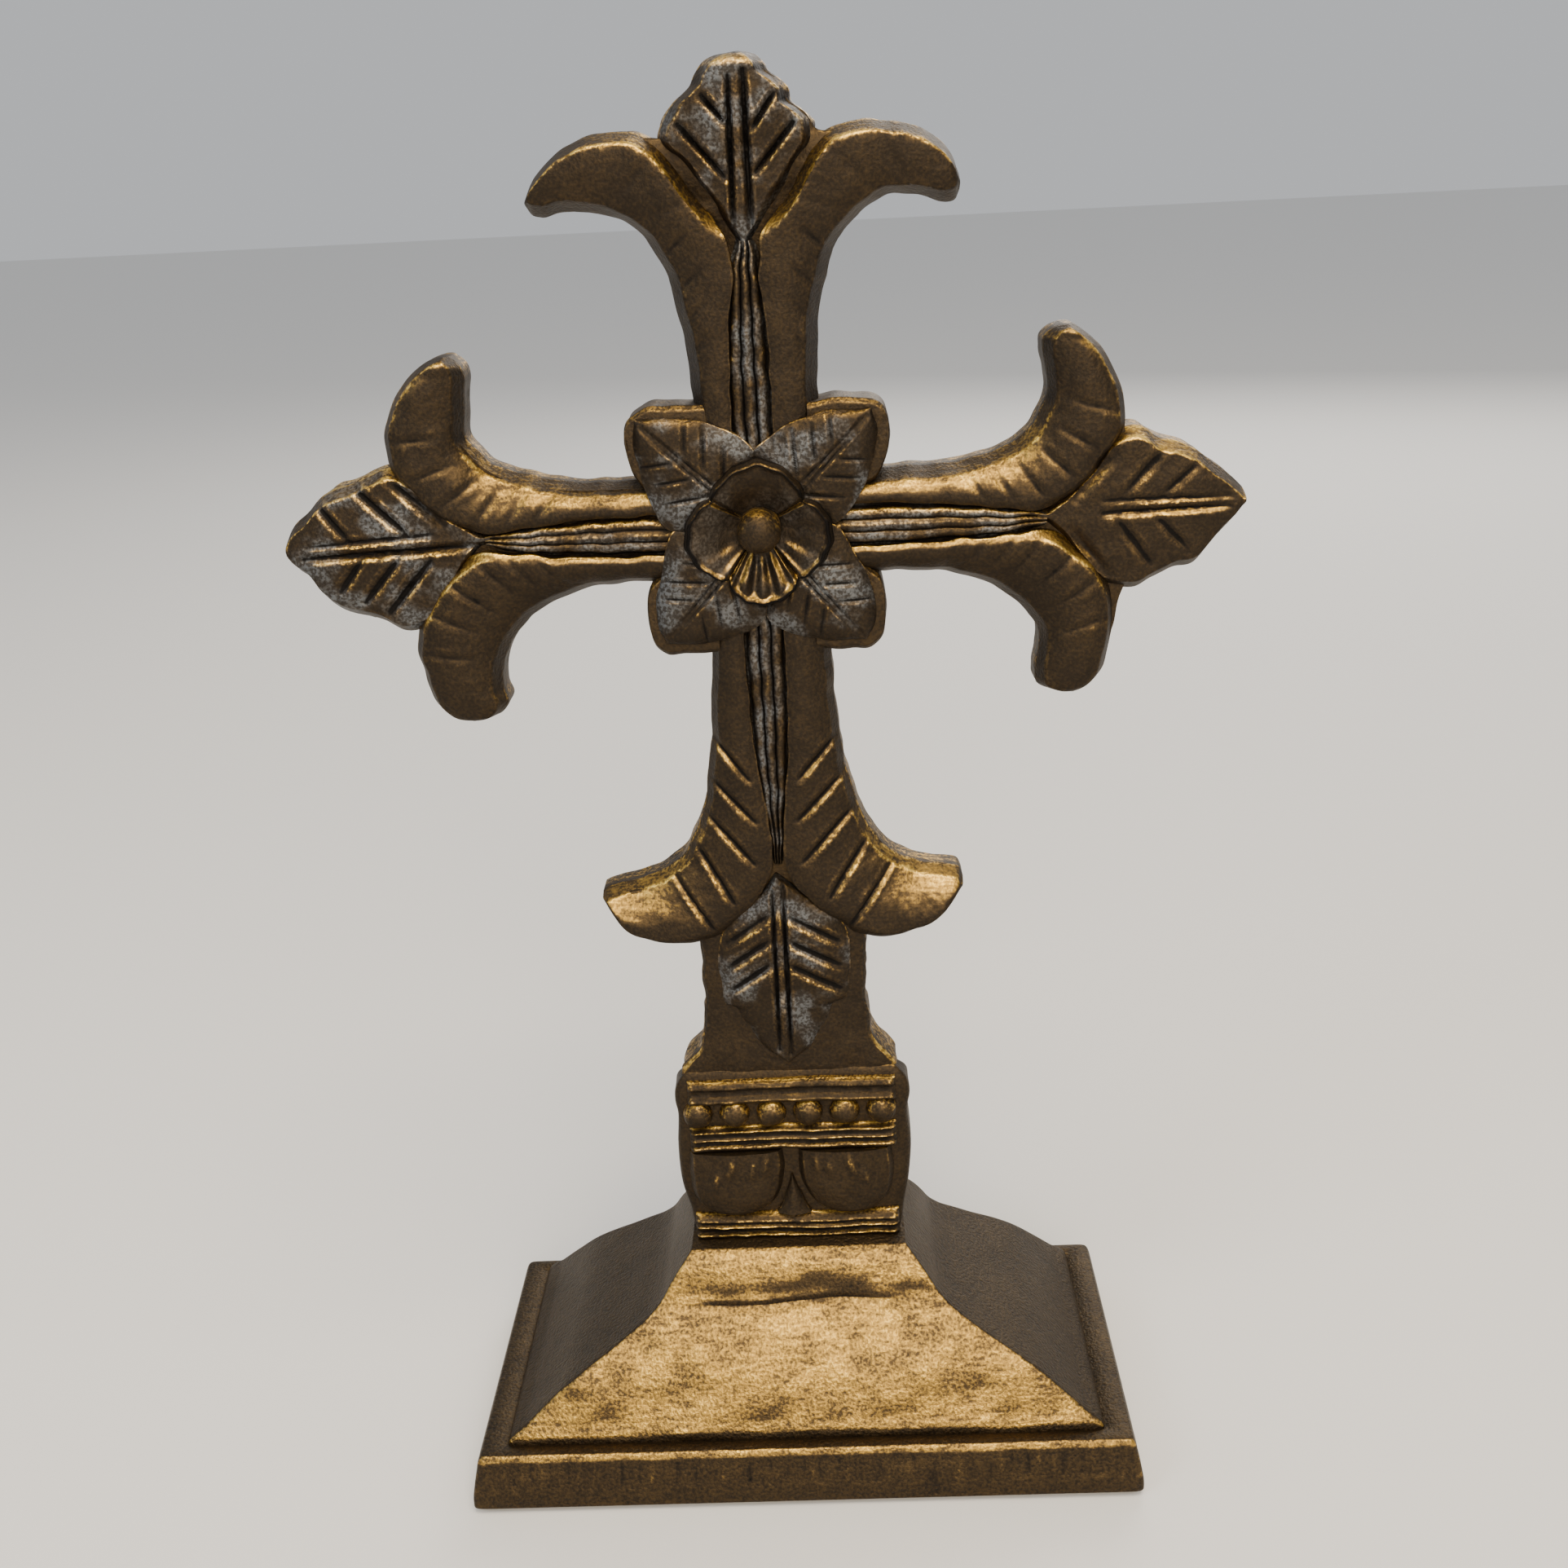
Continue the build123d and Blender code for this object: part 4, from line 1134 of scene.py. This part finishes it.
@dataclass
class Boards:
    """The two half-lapped boards: flat plates that show behind the carving."""

    upright: Outline = (
        (10, 34), (11, 60), (16, 98), (16.6, 112), (16.6, 128), (19, 133), (26, 134.5), (33, 136),
        (37.5, 140), (36, 141.8), (28, 143.6), (21, 148), (17, 156), (14.6, 164), (12.6, 176),
        (11.4, 190), (11.2, 226), (11.2, 256), (12, 268), (14.2, 279), (18, 288.5), (23, 292.8),
        (31, 294.4), (38, 294.4), (39.6, 297), (36, 301), (28, 303.8), (20, 304.4), (14.6, 304.6),
        (12.6, 307.5), (9, 310.6), (8.2, 313), (5, 316), (1.6, 317.8),
    )
    crossbar: Outline = (
        (12, 8.6), (28, 8.6), (38, 8.7), (47, 9.4), (54, 11.5), (60.8, 16.6), (64.6, 23), (65, 33),
        (66, 35.8), (71, 32), (74, 25), (75.4, 18), (78, 13.4), (86, 10.6), (93, 8), (98, 3.2),
        (99.6, 0.6),
    )
    front: float = 5.9
    back: float = 4.9
    crossbar_inset: float = 0.12  # how much thinner the crossbar is behind
    crossbar_drop: float = 0.3

    def plate(self, name: str, line: np.ndarray, back: float, seed: int) -> bpy.types.Object:
        """A plate inside a closed outline, with its back edge eased.

        Args:
            name: the piece's name.
            line: the outline's corners, as x and z.
            back: how far behind the middle its back face is.
            seed: what sets its unevenness.

        Returns:
            The plate.
        """
        closed = np.concatenate([line, line[:1]])
        ring = through(closed, 900, 2)[:-1]
        ahead = np.roll(ring, -3, 0) - np.roll(ring, 3, 0)
        ahead /= np.linalg.norm(ahead, axis=1, keepdims=True)
        inward = np.stack([-ahead[:, 1], ahead[:, 0]], 1)
        rings = []
        for y, inset in ((-self.front, 0.5), (-self.front + 0.5, 0), (back - 0.7, 0), (back, 0.7)):
            edge = ring + inward * inset
            rings.append(np.stack([edge[:, 0], np.full(len(edge), y), edge[:, 1]], -1))
        solid = np.stack(rings)
        solid[..., (0, 2)] += 0.12 * unevenness(solid, 4.0, seed)[..., None]
        return ring_solid(name, solid, flat=True)

    def build(self, shop: Workshop) -> None:
        """Make and dress both boards."""
        half = np.array(self.upright)
        outline = np.concatenate([half, half[::-1] * (-1, 1)])
        shop.place(self.plate("upright_board", outline, self.back, 131), Coat.BACK, "upright_board")
        quarter = np.array(self.crossbar)
        top = np.concatenate([quarter, quarter[::-1] * (1, -1)])
        around = np.concatenate([top, top * (-1, -1)]) + (0, CROSS_Z - self.crossbar_drop)
        crossbar = self.plate("crossbar_board", around, self.back - self.crossbar_inset, 133)
        shop.place(crossbar, Coat.BACK, "crossbar_board")


# ---------------------------------------------------------------- turned square shapes


def square_loop(per_side: int, power: float) -> np.ndarray:
    """A loop round a unit square whose corners are rounded.

    A point on the square is divided by its p-norm, (|u|^p + |v|^p)^(1/p), so a higher power
    gives a sharper corner.

    Args:
        per_side: points on each side, crowded towards the corners.
        power: the p.

    Returns:
        Points by two coordinates, anticlockwise from the front left corner.
    """
    run = 2 * edge_spaced(per_side + 1)[:-1] - 1
    one = np.ones_like(run)
    loop = np.concatenate([
        np.stack([run, -one], 1), np.stack([one, run], 1),
        np.stack([-run, one], 1), np.stack([-one, -run], 1),
    ])
    return loop / (np.abs(loop) ** power).sum(1, keepdims=True) ** (1 / power)


def stacked(sizes: np.ndarray, per_side: int, power: float) -> np.ndarray:
    """Rings of a square-sided shape.

    Args:
        sizes: half width, front y, back y and height of each ring.
        per_side: points on each side.
        power: how sharp the corners are.

    Returns:
        Rings by points by x, y and z.
    """
    loop = square_loop(per_side, power)
    half, front, back, level = (sizes[:, k][:, None] for k in range(4))
    x = half * loop[:, 0]
    y = (front + back) / 2 + (back - front) / 2 * loop[:, 1]
    return np.stack([x, y, level + 0 * x], -1)


@dataclass
class Collar:
    """The block at the foot of the stem, with its mouldings, beads and tongues."""

    block: Sections = (
        (24.6, -9.6, 10, 53.2), (25.2, -10, 10, 56), (26, -10, 10, 61), (27.2, -10, 10, 66),
        (27.8, -10, 10, 73), (27.7, -10, 9.6, 79), (27.3, -10, 8, 83), (27.2, -10, 6, 86.5),
        (27.8, -10, 3.6, 90), (27.6, -10, 0.8, 93), (26.4, -9.6, -2.2, 95.6), (24.6, -8.8, -4, 97.4),
        (22.8, -7.4, -4.6, 98.2),
    )
    top: Outline = (
        (89.7, 0.2), (90.3, 1.5), (91.1, 2.2), (91.9, 1.6), (92.6, 0.9), (93.6, 1.0), (94.4, 1.9),
        (95.1, 1.7), (95.9, 0.4),
    )
    middle: Outline = (
        (77.5, 0.4), (78, 1.8), (78.8, 2.2), (79.5, 1.2), (80.2, 1.3), (80.9, 2.3), (81.6, 1.6),
        (82.3, 1.7), (82.8, 2.2), (83.5, 0.8), (83.9, 0.2),
    )
    foot: Outline = (
        (53.6, 1.0), (54.4, 1.7), (55.2, 0.5), (55.9, 0.8), (56.9, 2.3), (57.7, 1.3), (58.6, 2.4),
        (59.5, 1.6), (60.3, 0.2),
    )
    creases: Sections = (
        (5.5, 76.6, 6.6, 72.4), (8.6, 75.4, 9.4, 71.6), (13.6, 76, 15.4, 71), (17.4, 72.6, 18.2, 69),
    )
    tongue: Sections = (
        (24.2, 77.4, 1.6, 77.4), (24.3, 72, 1.8, 72), (24, 67, 2.6, 67), (22.6, 63.6, 4.6, 63.2),
        (19.4, 61.2, 8.2, 61), (15.6, 60.3, 12, 60.3),
    )
    tongue_heights: Sections = even((0, 1.2, 3.2), (0.5, 1.4, 3.8), (0.85, 1.0, 2.6), (1, 0.4, 0.9))
    tongues_left: float = 0.8  # how far left of the middle the pair sits
    crease: tuple[float, float] = (1.0, -0.45)  # width and depth
    bud: Sections = (
        (-4.6, 60.4, 3.4, 60.4), (-3.3, 63.5, 2, 63.5), (-2, 67, 0.7, 67), (-0.9, 70.5, -0.5, 70.5),
    )
    bud_heights: Sections = even((0, 1.0, 2.6), (1, 0.4, 1.2))
    sunk: float = -8.0  # the backs of the applied pieces, inside the block
    rail_half: float = 24.4
    rail_end: float = 1.2  # length of a moulding's rounded ends
    bead_back: float = -8.5
    beads_left: float = 0.6
    bead_radius: float = 3.35
    bead_level: float = 87.2
    bead_pitch: float = 8.65
    beads: int = 6

    def rail(self, name: str, profile: Outline, seed: int) -> bpy.types.Object:
        """A moulding: its profile carried across the front, uneven along its run."""
        line = through(np.array(profile), 36, 2)
        x = np.linspace(-self.rail_half, self.rail_half, 160)
        ends = 1 - np.clip((np.abs(x) - self.rail_half + self.rail_end) / self.rail_end, 0, 1) ** 2
        level = line[:, 0] + 0 * x[:, None]
        proud = line[:, 1] * (0.35 + 0.65 * ends[:, None])
        front = np.stack([x[:, None] + 0 * level, -(COLLAR_FRONT + proud), level], -1)
        front[..., 2] += 0.25 * unevenness(front * (1, 1, 0), 9.0, seed)
        front[..., 1] -= 0.14 * unevenness(front, 2.0, seed + 1)
        back = front[:, [-1, 0]].copy()
        back[..., 1] = self.sunk
        return ring_solid(name, np.concatenate([front, back], axis=1))

    def bead_row(self) -> bpy.types.Object:
        """The beads: half balls, joined into one piece."""
        latitude = np.linspace(math.pi / 2 - 0.03, 0, 16)[:, None]
        turn = np.linspace(0, 2 * math.pi, 36, endpoint=False)
        ball = np.stack([
            np.cos(latitude) * np.cos(turn), -np.sin(latitude) + 0 * turn, np.cos(latitude) * np.sin(turn),
        ], -1)
        row = []
        for k in range(self.beads):
            x = (k - (self.beads - 1) / 2) * self.bead_pitch - self.beads_left
            centre = np.array([x, -COLLAR_FRONT, self.bead_level])
            dome = centre + ball * self.bead_radius * (1.06, 1.0, 1.0)
            dome += 0.12 * unevenness(dome, 2.4, 140 + k)[..., None]
            foot = dome[-1:].copy()
            foot[..., 1] = self.bead_back
            row.append(ring_solid(f"collar_bead_{k}", np.concatenate([dome, foot])))
        return joined(row, "collar_beads")

    def petal(self, side: str, sign: int) -> Member:
        """One of the two tongues under the beads, mirrored by its sign."""

        def across(row: Section) -> Section:
            """A row of two places, mirrored and moved left with the pair."""
            return (sign * row[0] - self.tongues_left, row[1], sign * row[2] - self.tongues_left, row[3])

        rows = section_rows(tuple(across(row) for row in self.tongue), self.tongue_heights)
        creases = gouges(*((*across(row), *self.crease) for row in self.creases))
        return Member(
            f"collar_petal_{side}", rows, creases, crown=2.2, chamfer=1.3, chamfer_drop=1.6,
            back=self.sunk, shift=COLLAR_FRONT - BOARD_FRONT, seed=160 + sign, spacing=0.35,
        )

    def build(self, shop: Workshop) -> None:
        """Make and dress the collar's pieces."""
        rings = stacked(through(np.array(self.block), 110), 56, 11)
        rings[..., 0] += 0.2 * unevenness(rings, 9.0, 151)
        rings[..., 1] += 0.1 * unevenness(rings, 6.0, 152)
        shop.place(ring_solid("collar_block", rings), Coat.COLLAR, "collar_block")
        rails = (("top", self.top, 153), ("middle", self.middle, 155), ("foot", self.foot, 157))
        for level, profile, seed in rails:
            name = f"collar_{level}_moulding"
            shop.place(self.rail(name, profile, seed), Coat.COLLAR, name)
        shop.place(self.bead_row(), Coat.COLLAR, "collar_beads")
        for side, sign in (("left", -1), ("right", 1)):
            shop.carve(self.petal(side, sign), Coat.COLLAR)
        bud = Member(
            "collar_bud", section_rows(self.bud, self.bud_heights), back=self.sunk,
            shift=COLLAR_FRONT - BOARD_FRONT, seed=165, spacing=0.3,
        )
        shop.carve(bud, Coat.COLLAR)


@dataclass
class Base:
    """The hollow-sided pyramid and the fluted plinth."""

    pyramid: Outline = (
        (25.6, 53.5), (27.4, 51.4), (28.8, 49.6), (31, 46.4), (33, 43.2), (36, 40.2), (40, 37.4),
        (45, 34.2), (50, 31.3), (56, 27.4), (61, 23.2), (66, 18.8), (70.4, 14.9), (70.6, 13.6),
    )
    plinth: Sections = (
        (77.6, 40.8, 1.2), (78.8, 41.8, 1.7), (78.9, 41.9, 3), (78.4, 41.6, 7), (77.6, 41, 11),
        (77, 40.5, 13.6), (76.4, 40, 14.7), (75.2, 39, 15), (72.6, 37, 14.9), (70.2, 35, 14.2),
    )
    pyramid_ends: tuple[float, float] = (25.6, 70.5)  # half widths at the top and the foot
    top_depth: float = 15.0
    depth_gain: float = 20.5
    depth_power: float = 0.7
    fuller_back: float = 1.2
    fuller_over: float = 30.0
    corner_power: float = 90.0
    crease_level: float = 41.4
    crease_slope: float = 0.02
    crease_width: float = 0.9
    crease_depth: float = 0.8
    flute: float = 4.3
    flute_depth: float = 0.10

    def pyramid_piece(self) -> bpy.types.Object:
        """The hollow-sided pyramid.

        Its depth grows from top to foot by a power of its width, and its back is a little
        fuller by a half sine.  The front alone has hammered swellings and one wandering crease.
        """
        rows = through(np.array(self.pyramid), 150, 2)
        narrow, wide = self.pyramid_ends
        grown = np.clip((rows[:, 0] - narrow) / (wide - narrow), 0, 1) ** self.depth_power
        depth = self.top_depth + grown * self.depth_gain
        fuller = np.sin(math.pi * np.clip((depth - self.top_depth) / self.fuller_over, 0, 1))
        sizes = np.stack([rows[:, 0], -depth, depth + self.fuller_back * fuller, rows[:, 1]], 1)
        rings = stacked(sizes, 110, self.corner_power)
        face = np.exp(-np.abs(rings[..., 1] + depth[:, None]) / 3)
        swell = 0.36 * unevenness(rings * (1, 1, 2.2), 16.0, 171) + 0.16 * unevenness(rings, 5.0, 172)
        fade = rising(rings[..., 2], 13.6, 18) * (1 - rising(rings[..., 2], 50, 53.5))
        rings[..., 1] -= face * swell * fade
        wander = 0.5 * unevenness(rings * (1, 0, 0), 12.0, 174)
        line = rings[..., 2] - self.crease_level - self.crease_slope * rings[..., 0] - wander
        off = line / self.crease_width
        reach = 1 - rising(np.abs(rings[..., 0] + 3), 10, 30)
        rings[..., 1] += face * self.crease_depth * np.exp(-(off**2)) * reach
        rings[..., 1] += (1 - face) * 0.1 * unevenness(rings, 8.0, 173)
        return ring_solid("base_pyramid", rings)

    def plinth_piece(self) -> bpy.types.Object:
        """The plinth, with shallow cosine flutes that wander across the upper half of its front."""
        rows = through(np.array(self.plinth), 80)
        sizes = np.stack([rows[:, 0], -rows[:, 1], rows[:, 1], rows[:, 2]], 1)
        rings = stacked(sizes, 150, self.corner_power)
        face = np.exp(-np.abs(rings[..., 1] + rows[:, 1][:, None]) / 1.5)
        band = rising(rings[..., 2], 5, 8) * (1 - rising(rings[..., 2], 12, 13.6))
        wander = rings[..., 0] + 0.7 * unevenness(rings * (1, 0, 1), 12.0, 175)
        flutes = 1 + np.cos(2 * math.pi * wander / self.flute)
        rings[..., 1] += face * band * self.flute_depth * flutes
        rings[..., 1] += face * 0.12 * (1 + unevenness(rings, 5.0, 176)) * rising(rings[..., 2], 1.2, 3)
        return ring_solid("base_plinth", rings)

    def build(self, shop: Workshop) -> None:
        """Make and dress the pyramid and the plinth."""
        shop.place(self.pyramid_piece(), Coat.BASE, "base_pyramid")
        shop.place(self.plinth_piece(), Coat.BASE, "base_plinth")


# ---------------------------------------------------------------- inner parts, camera and light


@dataclass
class InnerParts:
    """The fasteners, pegs and pad, whose shapes come from the frame."""

    finishes: dict[str, Plain] = field(default_factory=lambda: {
        "steel": Plain("steel_part", (0.42, 0.42, 0.44), (0.6, 0.6, 0.62), 2.0, (1, 1, 4), 0.35, 1.0),
        "brass": Plain("brass_part", (0.55, 0.38, 0.14), (0.75, 0.56, 0.25), 2.0, (1, 1, 3), 0.35, 1.0),
        "wood": Plain("peg_wood", (0.30, 0.19, 0.10), (0.45, 0.31, 0.18), 0.8, (1, 8, 1), 0.7),
        "cork": Plain("cork_sheet", (0.22, 0.13, 0.07), (0.52, 0.36, 0.22), 1.6, (1, 1, 1), 0.9),
    })
    nodes: dict[str, str] = field(default_factory=lambda: {
        "tie_bolt": "steel", "bolt_washer": "steel", "base_screws": "brass",
        "threaded_insert": "brass", "lap_dowels": "wood", "cork_pad": "cork",
    })

    def build(self) -> None:
        """Give each part its finish."""
        made = {key: finish.material() for key, finish in self.finishes.items()}
        for node, key in self.nodes.items():
            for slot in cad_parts[node].material_slots:
                slot.material = made[key]
            LOG.info("%s: %s", node, key)


@dataclass(frozen=True)
class Lamp:
    """A square soft light: its place and size in metres, its power in watts and its colour."""

    name: str
    at: Triple
    size: float
    power: float
    colour: Triple


@dataclass
class Studio:
    """The floor, the soft lights and the camera."""

    camera_at: Triple = (14.4, -388.2, 300.6)
    yaw: float = -1.89
    pitch: float = 19.21
    roll: float = -2.87
    lens: float = 41.65
    sensor: float = 36.0
    lamps: tuple[Lamp, ...] = (
        Lamp("overhead", (0.15, -0.55, 1.35), 0.7, 16, (1.0, 0.84, 0.62)),
        Lamp("softbox", (0.2, -1.7, 0.95), 1.0, 32, (1.0, 0.85, 0.64)),
        Lamp("window", (-0.8, -0.7, 0.85), 0.4, 3.5, (0.72, 0.85, 1.0)),
        Lamp("behind", (0.5, 1.5, 1.0), 1.0, 14, (1.0, 0.95, 0.88)),
    )
    lamps_aim: Triple = (0.0, 0.0, 0.15)
    floor_half: float = 8.0
    floor_colour: Triple = (0.80, 0.79, 0.77)
    floor_roughness: float = 0.9
    sky_colour: Triple = (0.90, 0.92, 0.95)
    sky_strength: float = 0.6

    def camera(self) -> None:
        """Create the camera: turned by yaw and pitch, then rolled about its own line of sight."""
        yaw, pitch, roll = (math.radians(a) for a in (self.yaw, self.pitch, self.roll))
        ahead = Vector((math.sin(yaw) * math.cos(pitch), math.cos(yaw) * math.cos(pitch), -math.sin(pitch)))
        right = Vector((math.cos(yaw), -math.sin(yaw), 0))
        up = right.cross(ahead)
        side = right * math.cos(roll) + up * math.sin(roll)
        top = up * math.cos(roll) - right * math.sin(roll)
        made = linked("camera", bpy.data.cameras.new("camera"))
        made.data.lens = self.lens
        made.data.sensor_width = self.sensor
        made.data.clip_start, made.data.clip_end = 0.01, 50
        place = Matrix((side, top, -ahead)).transposed().to_4x4()
        place.translation = Vector(self.camera_at) * MM
        made.matrix_world = place
        bpy.context.scene.camera = made

    def light(self, lamp: Lamp) -> None:
        """Add a soft light that looks at the cross."""
        data = bpy.data.lights.new(lamp.name, "AREA")
        data.size, data.energy, data.color = lamp.size, lamp.power, lamp.colour
        made = linked(lamp.name, data)
        made.location = lamp.at
        ahead = Vector(self.lamps_aim) - Vector(lamp.at)
        made.rotation_euler = ahead.to_track_quat("-Z", "Y").to_euler()
        made.visible_camera = False

    def floor(self) -> None:
        """Lay a plain pale floor."""
        half = self.floor_half
        corners = [(-half, -half, 0), (half, -half, 0), (half, half, 0), (-half, half, 0)]
        mesh = bpy.data.meshes.new("floor")
        mesh.from_pydata(corners, [], [(0, 1, 2, 3)])
        plain = bpy.data.materials.new("pale_floor")
        plain.use_nodes = True
        shader = plain.node_tree.nodes["Principled BSDF"]
        shader.inputs["Base Color"].default_value = (*self.floor_colour, 1)
        shader.inputs["Roughness"].default_value = self.floor_roughness
        mesh.materials.append(plain)
        linked("floor", mesh)

    def sky(self) -> None:
        """Fill the room with an even pale light."""
        world = bpy.data.worlds.new("room")
        world.use_nodes = True
        background = world.node_tree.nodes["Background"]
        background.inputs["Color"].default_value = (*self.sky_colour, 1)
        background.inputs["Strength"].default_value = self.sky_strength
        bpy.context.scene.world = world

    def build(self) -> None:
        """Set up the floor, the sky, the lights and the camera."""
        self.floor()
        self.sky()
        for lamp in self.lamps:
            self.light(lamp)
        self.camera()
        LOG.info("studio: %d lamps", len(self.lamps))


def main() -> None:
    """Build every sub-assembly in order."""
    logging.basicConfig(level=logging.INFO, format="%(name)s: %(message)s")
    shop = Workshop()
    Boards().build(shop)
    UpperArm().build(shop)
    LEFT_ARM.build(shop)
    RIGHT_ARM.build(shop)
    LowerArm().build(shop)
    Crossing().build(shop)
    Collar().build(shop)
    Base().build(shop)
    InnerParts().build()
    Studio().build()


if __name__ == "__main__":
    main()
